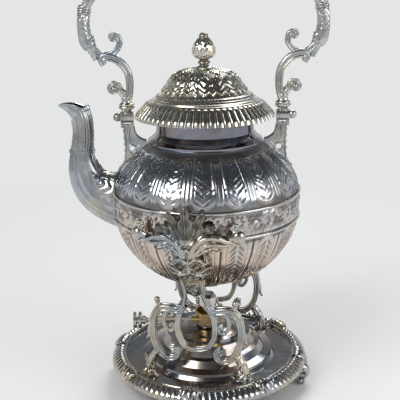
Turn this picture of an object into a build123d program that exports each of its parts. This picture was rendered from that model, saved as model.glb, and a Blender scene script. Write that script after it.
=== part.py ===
from build123d import *
import os
from math import cos, hypot, radians, sin

# Spirit kettle on a stand: a chased kettle with a hinged lid and a bail handle, lifted out of
# a low round stand with two cast brackets, over a spirit lamp with a wick and a snuffer.
# Millimetres. Heights are measured from the lower edge of the base rim; the feet hang below it.
# The spout points to -X, the heel lug is at +X, and the front is -Y.

# ---------------------------------------------------------------- driving dimensions
WALL = 1.6                 # sheet thickness of the raised body, lid and base
SEAM = 0.1                 # gap between two fixed pieces that meet on a curved face
RUNNING = 0.05             # radial clearance of a pin in its eye
PLAY = 0.3                 # side play of a moving piece

# kettle body, outer profile (radius, height)
NECK_R = 54.5
NECK_Z = 232.0
BELLY_R = 92.0
BELLY_Z = 175.0
BELLY_LOW_R = 81.5
BELLY_LOW_Z = 133.0
KETTLE_BOTTOM_Z = 92.0
KETTLE_BOTTOM_R = 25.0
FOOT_RING_H = 2.5
FOOT_RING_W = 3.0

UPPER_WIRE_Z = 185.0
LOWER_WIRE_Z = 160.0
WIRE_R = 1.6

# neck collar
COLLAR_R = 47.5
COLLAR_TOP_Z = 262.0
COLLAR_BEAD_R = 56.0
COLLAR_BEAD_Z = 235.0
COLLAR_LIP_R = 50.5

# lid
LID_RIM_R = 67.5
LID_RIM_Z = 257.0
LID_RING_R = 52.0
LID_RING_Z = 273.0
LID_STEP_R = 41.0
LID_STEP_Z = 282.0
LID_CROWN_R = 29.0
LID_CROWN_Z = 297.0
LID_TOP_Z = 302.0
BEZEL_DEPTH = 5.0
BEZEL_GAP = 0.8
LID_HINGE_Y = 56.0
LID_HINGE_Z = 259.5
LID_KNUCKLE_R = 2.6
LID_PIN_R = 1.2
LID_KNUCKLE_L = 7.0
LID_EAR_L = 4.0

# finial
FINIAL_STEM_R = 4.5
FINIAL_FOOT_R = 8.0
FINIAL_BUD_R = 10.5
FINIAL_BUD_Z = 319.0
FINIAL_TIP_Z = 336.0
FINIAL_STUD_R = 2.0
FINIAL_NUT_R = 4.5
FINIAL_NUT_H = 3.0
WASHER_R = 6.5
WASHER_H = 1.0

# spout
SPOUT_WALL = 1.8
SPOUT_TIP_X = -140.0
SPOUT_TIP_Z = 270.0
SPOUT_COLLAR_Z = 224.5
FLANGE_W = 4.5
FLANGE_T = 1.6

# bail handle
PIVOT_X = 75.3
PIVOT_Z = 257.0
EYE_R = 5.5
EYE_HALF = 3.4
CHEEK_T = 2.4
HANDLE_PIN_R = 2.0
PIN_HEAD_R = 4.2
HANDLE_COLLAR_R = 7.6
HANDLE_COLLAR_Z = 268.0
SCROLL_R = 3.6
LOWER_SCROLL_R = 3.1
ARM_R = 5.8
ARM_REACH = 119.0
ARM_WIDEST_Z = 347.0
ARM_TOP_Z = 384.0
GRIP_HALF = 70.0
GRIP_R = 9.5
GRIP_END_Z = 375.5
GRIP_ARCH = 7.0
GRIP_ROD_R = 2.5
FERRULE_L = 7.0
FERRULE_R = 8.0

# handle lugs
LUG_T = 6.0
LUG_OUTER_X = 79.0
LUG_TIP_Z = 207.0
LUG_HOLE_R = 3.0
LUG_HOLE_X = 71.5
LUG_HOLE_Z = 226.0

# stand
STAND_TURN = -11.0
BASE_R = 101.5
RIM_H = 12.0
RIM_INNER_R = 87.0
FLOOR_Z = 8.0
DISH_R = 66.0
DISH_Z = 13.0
STEP_R = 54.0
STEP_Z = 21.0
PLATFORM_R = 45.0
PLATFORM_Z = 32.0
LAMP_SEAT_R = 30.0
FEET_HEIGHT = 22.0
FOOT_W = 14.0
FOOT_T = 5.0
FOOT_REACH = 107.0
FOOT_ROLL_R = 4.6
FEET = 4
FOOT_TURN = 0.0

# brackets
BRACKET_T = 5.0
BRACKET_FOOT_D = 58.0
BRACKET_FOOT_S = 48.0
BRACKET_NECK_HALF = 10.0
BRACKET_NECK_Z = 100.0
MASK_HALF = 19.0
MASK_Z = 132.0
CREST_Z = 188.0
CREST_HALF = 21.0
CRADLE_Z = 165.0
CRADLE_S = 45.0
CRADLE_BALL_R = 6.4
CRADLE_GAP = 0.6
KNOB_S = 37.0
KNOB_Z = 92.0
BRACKET_SCREW_R = 2.5
BRACKET_NUT_R = 5.0
BRACKET_NUT_H = 3.0

# spirit lamp
FONT_R = 27.0
FONT_FLANGE_R = 34.0
FONT_BOTTOM_Z = 10.0
FONT_TOP_Z = 38.0
FONT_MOUTH_R = 10.0
FONT_WALL = 1.5
BURNER_R = 13.5
BURNER_Z = 41.0
BURNER_TOP_Z = 53.0
WICK_TUBE_R = 6.5
WICK_TUBE_TOP_Z = 60.0
WICK_R = 5.0
WICK_TOP_Z = 61.8
WICK_BOTTOM_Z = 18.0
SPINDLE_Z = 46.5
SPINDLE_R = 1.4
WHEEL_R = 3.0
WHEEL_W = 1.6
WHEEL_X = 2.4
KNOB_X = -73.0
KNOB_R = 8.5
KNOB_DISC_T = 2.8
KNOB_GAP = 2.4
GLAND_R = 3.4
GLAND_L = 4.0
SNUFFER_R = 8.6
SNUFFER_WALL = 1.2
SNUFFER_TOP_Z = 72.0
SNUFFER_LOW_Z = 59.5
SNUFFER_HINGE_X = 13.0
SNUFFER_HINGE_Z = 56.0
SNUFFER_PIN_R = 1.1
SNUFFER_EYE_R = 2.4
SNUFFER_EYE_HALF = 2.0

HALVES = {"heel": 1, "spout": -1}


# ---------------------------------------------------------------- small helpers
def at(x, z, y=0.0):
    """A point of the upright XZ plane."""
    return Vector(x, y, z)


def turned(points):
    """A ring or disc turned about the vertical axis from straight runs of (radius, height)."""
    return revolve(make_face(Polyline(*[at(r, z) for r, z in points], close=True)), Axis.Z)


def turned_curve(outer, inner):
    """A thin wall turned from two smooth curves that start and end side by side."""
    first = Spline(*[at(r, z) for r, z in outer])
    second = Spline(*[at(r, z) for r, z in inner])
    ends = [Line(first @ 0, second @ 0), Line(first @ 1, second @ 1)]
    return revolve(make_face(Wire([first, second, *ends])), Axis.Z)


def inside(points, wall):
    """The same profile moved inwards by the wall."""
    moved = []
    for i, (r, z) in enumerate(points):
        r0, z0 = points[max(i - 1, 0)]
        r1, z1 = points[min(i + 1, len(points) - 1)]
        run = hypot(r1 - r0, z1 - z0)
        moved.append((r - wall * (z1 - z0) / run, z + wall * (r1 - r0) / run))
    return moved


def rod(start, end, radius):
    """A round bar between two points."""
    start, end = Vector(*start), Vector(*end)
    line = Plane(origin=start, z_dir=end - start)
    return line * extrude(Circle(radius), (end - start).length)


def ball(x, y, z, radius):
    """A ball with its poles towards the sides."""
    return Pos(x, y, z) * Rot(0, 90, 0) * Sphere(radius)


def arc_chain(start, tangent, points):
    """Arcs through the points, each leaving tangent to the one before."""
    edges, tangent = [], Vector(*tangent)
    for point in points:
        arc = TangentArc(start, point, tangent=tangent)
        edges.append(arc)
        start, tangent = arc @ 1, arc % 1
    return Wire(edges)


def tube(path, radius):
    return sweep(Plane(origin=path @ 0, z_dir=path % 0) * Circle(radius), path=path)


def mirrored(shape, side):
    """The heel side's piece, or its mirror image on the spout side."""
    return shape if side > 0 else mirror(shape, about=Plane.YZ)


def around(shape, angle):
    return Rot(0, 0, angle) * shape


def origin_x(lip, arm):
    """The spout reaches further than the handle: how far the axis stands from the box's centre."""
    return -(lip.bounding_box().min.X + arm.bounding_box().max.X) / 2


def save(name, shape, place):
    solids = (place * shape).solids()
    kept = Compound(children=list(solids)) if len(solids) > 1 else solids[0]
    export_step(kept, f"parts/{name}.step")


# ---------------------------------------------------------------- kettle body
def belly_profile():
    """Outer profile from the centre of the bottom up to the neck."""
    return [
        (KETTLE_BOTTOM_R, KETTLE_BOTTOM_Z),
        (KETTLE_BOTTOM_R + 14, KETTLE_BOTTOM_Z + 4),
        (BELLY_LOW_R - 26, BELLY_LOW_Z - 28),
        (BELLY_LOW_R - 11.5, BELLY_LOW_Z - 15.5),
        (BELLY_LOW_R, BELLY_LOW_Z),
        (BELLY_R - 4.5, BELLY_Z - 29),
        (BELLY_R - 1, LOWER_WIRE_Z),
        (BELLY_R, BELLY_Z),
        (BELLY_R - 1, UPPER_WIRE_Z + 3),
        (BELLY_R - 4.5, NECK_Z - 32.5),
        (BELLY_R - 12, NECK_Z - 21),
        (NECK_R + 13, NECK_Z - 9.5),
        (NECK_R, NECK_Z),
    ]


def belly_radius(z):
    """Outer radius of the body at a height, found on the profile by halving."""
    curve = Spline(*[at(r, h) for r, h in belly_profile()])
    low, high = 0.0, 1.0
    while high - low > 1e-6:
        middle = (low + high) / 2
        if (curve @ middle).Z < z:
            low = middle
        else:
            high = middle
    return (curve @ low).X


def body_block(grow=0.0):
    """The body as a full solid, grown a little: what meets its outside is trimmed with it."""
    points = inside(belly_profile(), -grow)
    curve = Spline(*[at(r, z) for r, z in points])
    top, bottom = points[-1][1], points[0][1]
    rest = Polyline(curve @ 1, at(0, top), at(0, bottom), curve @ 0)
    return revolve(make_face(Wire([curve, *rest.edges()])), Axis.Z)


def kettle_body():
    outer = belly_profile()
    wall = turned_curve(outer, inside(outer, WALL))
    floor_z = KETTLE_BOTTOM_Z
    inner_r, inner_z = inside(outer, WALL)[0]
    floor = turned([(0, floor_z), (KETTLE_BOTTOM_R, floor_z), (inner_r, inner_z), (0, inner_z)])
    return wall + floor - spout_volume(SPOUT_WALL)


def kettle_foot_ring():
    ring = turned([
        (KETTLE_BOTTOM_R - FOOT_RING_W, KETTLE_BOTTOM_Z),
        (KETTLE_BOTTOM_R, KETTLE_BOTTOM_Z),
        (KETTLE_BOTTOM_R + 1, KETTLE_BOTTOM_Z - FOOT_RING_H),
        (KETTLE_BOTTOM_R - FOOT_RING_W, KETTLE_BOTTOM_Z - FOOT_RING_H),
    ])
    return ring


def band_wire(z):
    """A half-round wire around the belly, broken where the spout's root sits."""
    seat = max(belly_radius(z - WIRE_R), belly_radius(z), belly_radius(z + WIRE_R)) + SEAM
    face = make_face(Wire([
        ThreePointArc(at(seat, z - WIRE_R), at(seat + WIRE_R, z), at(seat, z + WIRE_R)),
        Line(at(seat, z + WIRE_R), at(seat, z - WIRE_R)),
    ]))
    return revolve(face, Axis.Z) - flange_outline(SEAM)


def neck_collar():
    """The straight polished neck, with a bead where it stands on the shoulder."""
    return turned([
        (NECK_R - 3, NECK_Z), (NECK_R, NECK_Z), (COLLAR_BEAD_R, NECK_Z + 1.5),
        (COLLAR_BEAD_R, COLLAR_BEAD_Z), (NECK_R - 3, COLLAR_BEAD_Z + 3),
        (COLLAR_R, COLLAR_BEAD_Z + 8), (COLLAR_R, COLLAR_TOP_Z - 3), (COLLAR_LIP_R, COLLAR_TOP_Z - 1.5),
        (COLLAR_LIP_R, COLLAR_TOP_Z), (COLLAR_R - WALL, COLLAR_TOP_Z),
        (COLLAR_R - WALL, COLLAR_BEAD_Z + 7), (NECK_R - 3 - WALL, COLLAR_BEAD_Z + 1),
        (NECK_R - 3 - WALL, NECK_Z - 1),
    ]) - body_block()


# ---------------------------------------------------------------- lid
def lid_profile():
    return [
        (LID_RING_R, LID_RING_Z),
        (LID_RING_R - 2.5, LID_RING_Z + 2),
        (LID_STEP_R + 4, LID_RING_Z + 5.5),
        (LID_STEP_R, LID_STEP_Z),
        (LID_STEP_R - 5, LID_STEP_Z + 6.5),
        (LID_STEP_R - 8, LID_STEP_Z + 11.5),
        (LID_CROWN_R, LID_CROWN_Z),
        (LID_CROWN_R - 8, LID_TOP_Z - 1.5),
        (FINIAL_FOOT_R, LID_TOP_Z),
        (FINIAL_STUD_R + SEAM, LID_TOP_Z),
    ]


def lid_dome():
    outer = lid_profile()
    inner = [(r, z - WALL) for r, z in reversed(outer)]
    inner[-1] = (LID_RING_R - WALL, LID_RING_Z - WALL)
    return turned(outer + inner)


def lid_rim():
    """The drooping gadroon border around the dome, open underneath."""
    droop = [
        (LID_RING_R + SEAM, LID_RING_Z),
        (LID_RING_R + 5, LID_RING_Z - 3),
        (LID_RIM_R - 6, LID_RING_Z - 7.5),
        (LID_RIM_R - 1.5, LID_RIM_Z + 4),
        (LID_RIM_R, LID_RIM_Z),
    ]
    under = [(LID_RIM_R - 2 * WALL, LID_RIM_Z), (LID_RIM_R - 8, LID_RIM_Z + 5),
             (LID_RING_R + 3, LID_RING_Z - 5), (LID_RING_R + SEAM, LID_RING_Z - 3.2)]
    return turned(droop + under)


def lid_bezel():
    """The plain ring inside that seats on the neck and drops into it."""
    outer = COLLAR_R - WALL - BEZEL_GAP
    seat = COLLAR_TOP_Z + SEAM
    return turned([
        (outer - WALL, seat - BEZEL_DEPTH), (outer, seat - BEZEL_DEPTH), (outer, seat),
        (COLLAR_LIP_R - 2, seat), (COLLAR_LIP_R - 2, LID_RING_Z - 5), (LID_RING_R - 1, LID_RING_Z - 2),
        (LID_RING_R - 3, LID_RING_Z - 1.7), (COLLAR_LIP_R - 2 - WALL, LID_RING_Z - 4),
        (COLLAR_LIP_R - 2 - WALL, seat + WALL), (outer - WALL, seat + WALL),
    ])


def hinge_barrel(x0, x1, radius):
    return rod((x0, LID_HINGE_Y, LID_HINGE_Z), (x1, LID_HINGE_Y, LID_HINGE_Z), radius)


def hinge_strap(x0, x1, points):
    """A strap of the hinge: a side outline (distance to the rear, height) across a width."""
    face = make_face(Polyline(*[Vector(x0, y, z) for y, z in points], close=True))
    return extrude(face, x1 - x0, dir=(1, 0, 0))


def lid_knuckle():
    """The lid's half of the hinge: one barrel on a short leaf from the bezel."""
    half = LID_KNUCKLE_L / 2
    low = COLLAR_TOP_Z + SEAM
    front = COLLAR_LIP_R - 2 + SEAM
    y, z = LID_HINGE_Y, LID_HINGE_Z
    leaf = hinge_strap(-half, half, [(front - 1, low + WALL), (y + 0.8, low + WALL), (y + 2, z + 1),
                                     (y, z), (y - 2, z + 1), (y - 2.2, low), (front - 1, low)])
    bezel = Pos(0, 0, z) * Cylinder(front, 40)
    return hinge_barrel(-half, half, LID_KNUCKLE_R) + leaf - bezel - hinge_barrel(
        -half - 1, half + 1, LID_PIN_R + RUNNING)


def lid_hinge_leaf():
    """The neck's half of the hinge: two barrels on straps soldered to the neck."""
    y, z, wall = LID_HINGE_Y, LID_HINGE_Z, COLLAR_R
    half = LID_KNUCKLE_L / 2
    side = [(wall - 1, z - 3.5), (wall - 1, z - 8.5), (wall + 6, z - 7.5), (y + 0.8, z - 2.3),
            (y, z), (y - 2, z + 0.4), (y - 3, z - 2.6)]
    shape = hinge_strap(-half - PLAY - LID_EAR_L, half + PLAY + LID_EAR_L, [
        (wall - 1, z - 4.5), (wall - 1, z - 8.5), (wall + 5, z - 7.6), (wall + 3.5, z - 5)])
    for sign in (-1, 1):
        x0, x1 = sorted((sign * (half + PLAY), sign * (half + PLAY + LID_EAR_L)))
        shape = shape + hinge_strap(x0, x1, side) + hinge_barrel(x0, x1, LID_KNUCKLE_R)
    neck = Pos(0, 0, z) * Cylinder(COLLAR_R + SEAM, 60)
    return shape - neck - hinge_barrel(-20, 20, LID_PIN_R)


def lid_hinge_pin():
    half = LID_KNUCKLE_L / 2 + PLAY + LID_EAR_L + 1
    return rod((-half, LID_HINGE_Y, LID_HINGE_Z), (half, LID_HINGE_Y, LID_HINGE_Z), LID_PIN_R)


def finial():
    """The leafy bud, its stem and foot, and the stud below that goes through the lid."""
    stud_end = LID_TOP_Z - WALL - WASHER_H - FINIAL_NUT_H - 1
    outline = [
        (FINIAL_STUD_R, stud_end), (FINIAL_STUD_R, LID_TOP_Z), (FINIAL_FOOT_R, LID_TOP_Z),
        (FINIAL_FOOT_R, LID_TOP_Z + 1.5), (FINIAL_STEM_R + 0.6, LID_TOP_Z + 4),
        (FINIAL_STEM_R, LID_TOP_Z + 7), (FINIAL_STEM_R + 1.6, LID_TOP_Z + 9.5),
        (FINIAL_BUD_R - 1.5, FINIAL_BUD_Z - 4.5), (FINIAL_BUD_R, FINIAL_BUD_Z),
        (FINIAL_BUD_R - 2.2, FINIAL_BUD_Z + 6), (FINIAL_BUD_R / 2, FINIAL_BUD_Z + 11.5),
        (FINIAL_BUD_R / 2 - 1, FINIAL_TIP_Z - 3), (FINIAL_BUD_R / 4, FINIAL_TIP_Z),
    ]
    return turned([(0, stud_end), *outline, (0, FINIAL_TIP_Z)])


def finial_washer():
    top = LID_TOP_Z - WALL
    bore = FINIAL_STUD_R + SEAM
    return turned([(bore, top), (WASHER_R, top), (WASHER_R, top - WASHER_H), (bore, top - WASHER_H)])


def finial_nut():
    top = LID_TOP_Z - WALL - WASHER_H
    hexagon = Pos(0, 0, top - FINIAL_NUT_H) * extrude(RegularPolygon(FINIAL_NUT_R, 6), FINIAL_NUT_H)
    return hexagon - Pos(0, 0, top) * Cylinder(FINIAL_STUD_R, 20)


# ---------------------------------------------------------------- spout
def spout_sections():
    """Centre (x, z), direction in degrees from -X upwards, half height and half width."""
    tip_x, tip_z, ring_z = SPOUT_TIP_X, SPOUT_TIP_Z, SPOUT_COLLAR_Z
    return [
        (-80.0, 171.0, 12, 26.5, 20.0),
        (-92.0, 175.5, 18, 25.5, 18.5),
        (-105.5, 182.0, 32, 22.3, 15.5),
        (-115.5, 192.5, 53, 18.8, 13.5),
        (-120.8, ring_z - 16, 74, 14.8, 12.0),
        (-120.8, ring_z, 90, 11.4, 10.5),
        (-118.6, ring_z + 17, 94, 10.0, 9.6),
        (-119.6, ring_z + 32, 84, 10.3, 9.2),
        (tip_x + 15.5, tip_z - 4.0, 74, 12.3, 8.6),
    ]


def spout_volume(shrink=0.0):
    faces = []
    for x, z, angle, high, wide in spout_sections():
        along = Vector(-cos(radians(angle)), 0, sin(radians(angle)))
        plane = Plane(origin=(x, 0, z), x_dir=(0, 1, 0), z_dir=along)
        faces.append(plane * Ellipse(wide - shrink, high - shrink))
    return loft(faces)


def spout():
    outer = spout_volume()
    lip = Pos(SPOUT_TIP_X + 1, 0, SPOUT_TIP_Z + 1) * Rot(0, 62, 0) * Box(26, 60, 12)
    hollow = spout_volume(SPOUT_WALL)
    return outer - hollow - body_block(SEAM) - lip


def spout_lip():
    """The beak's lower lip, curled out beyond the mouth."""
    start = (SPOUT_TIP_X + 6.6, 0, SPOUT_TIP_Z - 13.0)
    path = arc_chain(start, (0.05, 0, 1), [(SPOUT_TIP_X - 2.5, 0, SPOUT_TIP_Z - 0.5)])
    section = Plane(origin=path @ 0, x_dir=(0, 1, 0), z_dir=path % 0) * Rectangle(11, SPOUT_WALL)
    return sweep(section, path=path) - spout_volume(-SEAM)


def spout_collar():
    """The raised band around the neck of the spout."""
    x, z, angle, high, wide = spout_sections()[5]
    band = Pos(x, 0, z - 1.3) * extrude(Ellipse(high + 1.4, wide + 1.4), 2.6)
    return band - spout_volume(-SEAM)


def flange_outline(grow=0.0):
    """The oval that the flange covers, stretched through the belly's wall."""
    x, z, angle, high, wide = spout_sections()[1]
    along = Vector(-cos(radians(angle)), 0, sin(radians(angle)))
    plane = Plane(origin=(-70, 0, z - 3), x_dir=(0, 1, 0), z_dir=along)
    return plane * extrude(Ellipse(wide + FLANGE_W + grow, high + FLANGE_W + grow), 60)


def spout_flange():
    """The cast foliage rim around the root, laid on the belly, its top cut below the lug."""
    plate = body_block(FLANGE_T + SEAM) - body_block(SEAM)
    above = Pos(-BELLY_R, 0, LUG_TIP_Z - SEAM + 30) * Box(80, 80, 60)
    return (plate & flange_outline()) - spout_volume(-SEAM) - above


# ---------------------------------------------------------------- bail handle, heel side
def lug(side):
    """The cast bracket on the shoulder that carries one end of the handle."""
    top = PIVOT_Z - EYE_R - 2.5
    tip_x = belly_radius(LUG_TIP_Z) + 2.5
    outline = [
        Line(at(LUG_OUTER_X, top), at(LUG_OUTER_X - 1, LUG_TIP_Z + 22)),
        ThreePointArc(at(LUG_OUTER_X - 1, LUG_TIP_Z + 22), at(LUG_OUTER_X, LUG_TIP_Z + 10),
                      at(tip_x, LUG_TIP_Z)),
        Line(at(tip_x, LUG_TIP_Z), at(NECK_R - 6, LUG_TIP_Z)),
        Line(at(NECK_R - 6, LUG_TIP_Z), at(NECK_R - 6, NECK_Z + 1)),
        Line(at(NECK_R - 6, NECK_Z + 1), at(NECK_R + 3, NECK_Z + 1)),
        ThreePointArc(at(NECK_R + 3, NECK_Z + 1), at(PIVOT_X - 9, NECK_Z + 5),
                      at(PIVOT_X - 5.8, top)),
        Line(at(PIVOT_X - 5.8, top), at(LUG_OUTER_X, top)),
    ]
    plate = Pos(0, LUG_T / 2, 0) * extrude(make_face(Wire(outline)), LUG_T, dir=(0, -1, 0))
    plate -= rod((LUG_HOLE_X, -LUG_T, LUG_HOLE_Z), (LUG_HOLE_X, LUG_T, LUG_HOLE_Z), LUG_HOLE_R)
    inner = EYE_HALF + PLAY
    fork = None
    for x0 in (PIVOT_X - inner - CHEEK_T, PIVOT_X + inner):
        cheek = rod((x0, 0, PIVOT_Z), (x0 + CHEEK_T, 0, PIVOT_Z), EYE_R)
        cheek += Pos(x0 + CHEEK_T / 2, 0, (PIVOT_Z + top) / 2 - 0.5) * Box(
            CHEEK_T, LUG_T, PIVOT_Z - top + 1)
        fork = cheek if fork is None else fork + cheek
    bridge = Pos(PIVOT_X, 0, top - 0.5) * Box(2 * (inner + CHEEK_T), LUG_T, 3)
    collar = turned([(0, NECK_Z - 4), (COLLAR_BEAD_R + 1, NECK_Z - 4),
                     (COLLAR_BEAD_R + 1, COLLAR_BEAD_Z + 4), (0, COLLAR_BEAD_Z + 4)])
    bore = rod((PIVOT_X - 20, 0, PIVOT_Z), (PIVOT_X + 20, 0, PIVOT_Z), HANDLE_PIN_R)
    return mirrored(plate + fork + bridge - bore - body_block(SEAM) - collar, side)


def handle_pin(side):
    """The pivot pin, fast in the fork, with a ball head outside."""
    reach = EYE_HALF + PLAY + CHEEK_T
    pin = rod((PIVOT_X - reach - 0.3, 0, PIVOT_Z), (PIVOT_X + reach + 1, 0, PIVOT_Z), HANDLE_PIN_R)
    head_x = PIVOT_X + reach + PIN_HEAD_R * 0.75
    head = Pos(head_x, 0, PIVOT_Z) * Sphere(PIN_HEAD_R)
    head &= Pos(PIVOT_X + reach + 10, 0, PIVOT_Z) * Box(20, 20, 20)
    return mirrored(pin + head, side)


def handle_arm(side):
    """One scrolled arm: eye, vase, collar, lower scroll, upper scroll and the curve to the grip."""
    eye = rod((PIVOT_X - EYE_HALF, 0, PIVOT_Z), (PIVOT_X + EYE_HALF, 0, PIVOT_Z), EYE_R)
    low, mid = PIVOT_Z + EYE_R - 1, HANDLE_COLLAR_Z
    vase = Pos(PIVOT_X, 0, 0) * turned([
        (0, PIVOT_Z + 2), (EYE_HALF, PIVOT_Z + 2), (EYE_HALF, low + 1.6), (6.0, mid - 3.5),
        (HANDLE_COLLAR_R, mid - 2), (HANDLE_COLLAR_R, mid), (7.4, mid + 0.8),
        (HANDLE_COLLAR_R - 0.4, mid + 1.8), (5.2, mid + 4), (4.4, mid + 9), (0, mid + 9),
    ])
    lower = arc_chain(
        (PIVOT_X - 1.6, 0, mid + 5), (-0.4, 0, 1),
        [(71.1, 0, 289), (78.5, 0, 308.5), (96.0, 0, 314.5)])
    volute = rod((PIVOT_X + 11.5, -3.6, 285), (PIVOT_X + 11.5, 3.6, 285), 7.0)
    volute -= rod((PIVOT_X + 12.5, -6, 285.5), (PIVOT_X + 12.5, 6, 285.5), 2.4)
    stalk = rod((PIVOT_X + 1, 0, mid + 6), (PIVOT_X + 8, 0, 281), 3.2)
    point = rod((90.5, 0, 313), (95.5, 0, 307), 2.2)
    curl = arc_chain(
        (ARM_REACH - ARM_R - 3, 0, 331), (-0.55, 0, -1),
        [(98.5, 0, 316.5), (84.5, 0, 318.5), (79.0, 0, 329.5), (85.0, 0, 336.5)])
    bulb = Pos(86.5, 0, 335.5) * Sphere(SCROLL_R + 0.8)
    upper = arc_chain(
        (ARM_REACH - ARM_R - 5, 0, 328), (0.45, 0, 1),
        [(ARM_REACH - ARM_R, 0, ARM_WIDEST_Z), (ARM_REACH - ARM_R - 9, 0, ARM_TOP_Z - 14),
         (ARM_REACH - ARM_R - 21, 0, ARM_TOP_Z - 5), (GRIP_HALF + 12, 0, ARM_TOP_Z - 4.5),
         (GRIP_HALF + FERRULE_L - 1, 0, GRIP_END_Z + 1)])
    cuff = Pos(ARM_REACH - ARM_R - 2.2, 0, 358) * Rot(0, -18, 0) * Cylinder(ARM_R + 1.4, 3.4)
    joint = Pos(ARM_REACH - ARM_R - 4.5, 0, 327) * Rot(0, 25, 0) * Cylinder(ARM_R + 0.8, 9)
    shape = tube(upper, ARM_R) + cuff + joint + tube(curl, SCROLL_R) + bulb
    shape += tube(lower, LOWER_SCROLL_R)
    shape = shape + stalk + volute + point + vase + eye
    shape -= rod((PIVOT_X - 20, 0, PIVOT_Z), (PIVOT_X + 20, 0, PIVOT_Z), HANDLE_PIN_R + RUNNING)
    shape -= grip_envelope(SEAM)
    # the arm is alike front and back, so both sides are mirror images of the same shape
    return mirror(shape, about=Plane.XZ if side > 0 else Plane.YZ)


def grip_arc():
    """The gently arched centre line of the grip, from ferrule to ferrule."""
    return Wire([ThreePointArc(at(-GRIP_HALF - FERRULE_L, GRIP_END_Z),
                               at(0, GRIP_END_Z + GRIP_ARCH),
                               at(GRIP_HALF + FERRULE_L, GRIP_END_Z))])


def grip_envelope(grow=0.0):
    return tube(grip_arc(), FERRULE_R + grow)


def grip_cut(side, x):
    """Everything beyond a vertical plane, towards one side."""
    return Pos(side * (x + 100), 0, GRIP_END_Z) * Box(200, 60, 60)


def handle_grip():
    grip = tube(grip_arc(), GRIP_R) - tube(grip_arc(), GRIP_ROD_R + SEAM)
    return grip - grip_cut(1, GRIP_HALF) - grip_cut(-1, GRIP_HALF)


def grip_ferrule(side):
    """The metal cap between the grip and the end of an arm."""
    band = grip_envelope() & grip_cut(1, GRIP_HALF + SEAM)
    band -= tube(grip_arc(), GRIP_ROD_R + SEAM)
    return mirrored(band, side)


def grip_rod():
    """The tie rod through the grip, from one arm to the other."""
    return tube(grip_arc(), GRIP_ROD_R)


# ---------------------------------------------------------------- stand base
def base_plate():
    """The spun base: rising in steps from the plain dish to the lamp platform, hollow below."""
    top = [
        (RIM_INNER_R, FLOOR_Z), (DISH_R + 3, FLOOR_Z), (DISH_R, DISH_Z - 2), (DISH_R - 1, DISH_Z),
        (STEP_R + 3, DISH_Z + 2), (STEP_R, STEP_Z - 2), (STEP_R - 1.5, STEP_Z),
        (PLATFORM_R + 3, STEP_Z + 1.5), (PLATFORM_R, PLATFORM_Z - 3), (PLATFORM_R - 2, PLATFORM_Z),
        (LAMP_SEAT_R, PLATFORM_Z),
    ]
    under = [(r - WALL, z - WALL) for r, z in reversed(top)]
    under[0] = (LAMP_SEAT_R, PLATFORM_Z - WALL)
    under[-1] = (RIM_INNER_R, FLOOR_Z - WALL)
    plate = turned(top + under)
    for turn in (0, 180):
        for s in (-BRACKET_FOOT_S, BRACKET_FOOT_S):
            x, y = s, -BRACKET_FOOT_D - BRACKET_T / 2
            hole = rod((x, y, 0), (x, y, 40), BRACKET_SCREW_R + SEAM)
            plate -= around(hole, STAND_TURN + turn)
    return plate


def base_rim():
    """The heavy gadroon border: a bold half round with a bright wire inside."""
    bulge = RIM_H + 1.5
    return turned([
        (RIM_INNER_R + SEAM, RIM_H - 4), (RIM_INNER_R + SEAM, RIM_H - 1.5), (RIM_INNER_R + 1.2, RIM_H),
        (RIM_INNER_R + 3, RIM_H - 0.5), (RIM_INNER_R + 6, bulge - 1.5), (BASE_R - 6, bulge - 3.2),
        (BASE_R - 2, RIM_H - 4.5), (BASE_R, 4.5), (BASE_R - 0.8, 1), (BASE_R - 2.5, 0),
        (BASE_R - 5, 0), (BASE_R - 5, 4), (RIM_INNER_R + 5, RIM_H - 5),
    ])


def base_foot(index):
    """One scroll foot: a strap from under the rim out and down to a roll on the table."""
    path = arc_chain((RIM_INNER_R + 2, 0, FLOOR_Z - WALL - 3), (0.9, 0, -0.3),
                     [(FOOT_REACH - 3, 0, -4.5), (FOOT_REACH - 7, 0, -15.5)])
    section = Plane(origin=path @ 0, x_dir=(0, 1, 0), z_dir=path % 0) * Rectangle(FOOT_W, FOOT_T)
    strap = sweep(section, path=path)
    roll_x, roll_z = FOOT_REACH - 9.5, -FEET_HEIGHT + FOOT_ROLL_R - 0.6
    roll = rod((roll_x, -FOOT_W / 2 - 1, roll_z), (roll_x, FOOT_W / 2 + 1, roll_z), FOOT_ROLL_R)
    floor = Pos(roll_x, 0, -FEET_HEIGHT - 10) * Box(60, 60, 20)
    rim = base_rim_block()
    pad = Pos(RIM_INNER_R + 9.5, 0, 0) * Box(8, FOOT_W, 10)
    return around(strap + pad + roll - floor - rim, STAND_TURN + FOOT_TURN + index * 360 / FEET)


def base_rim_block():
    """The space the rim and the plate fill above a foot, with the seam."""
    top = RIM_H + 10
    return turned([
        (60, FLOOR_Z - WALL - SEAM), (RIM_INNER_R + 5, FLOOR_Z - WALL - SEAM),
        (BASE_R - 5 - SEAM, 4 - SEAM), (BASE_R - 5 - SEAM, -SEAM), (BASE_R - 2.5, -SEAM),
        (BASE_R - 0.6, 0.9 - SEAM), (BASE_R + SEAM, 4.5), (BASE_R - 2 + SEAM, RIM_H - 4.3), (60, top),
    ])


# ---------------------------------------------------------------- cast brackets
def bracket_inner(grow=0.0):
    """Inner face (distance from the axis, height): straight at the feet, then along the belly."""
    gap = CRADLE_GAP
    low = [(BRACKET_FOOT_D, PLATFORM_Z - 19), (BRACKET_FOOT_D, 60), (BRACKET_FOOT_D + 0.8, 88)]
    belly = [(belly_radius(z) + gap + 1.2, z) for z in (116, 126, 136, 146, 154, 162)]
    high = [(BELLY_R + WIRE_R * 1.5 + gap, LOWER_WIRE_Z + 8), (BELLY_R + WIRE_R * 1.5 + gap + 1, CREST_Z + 4)]
    return [(d + grow, z) for d, z in low + belly + high]


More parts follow.
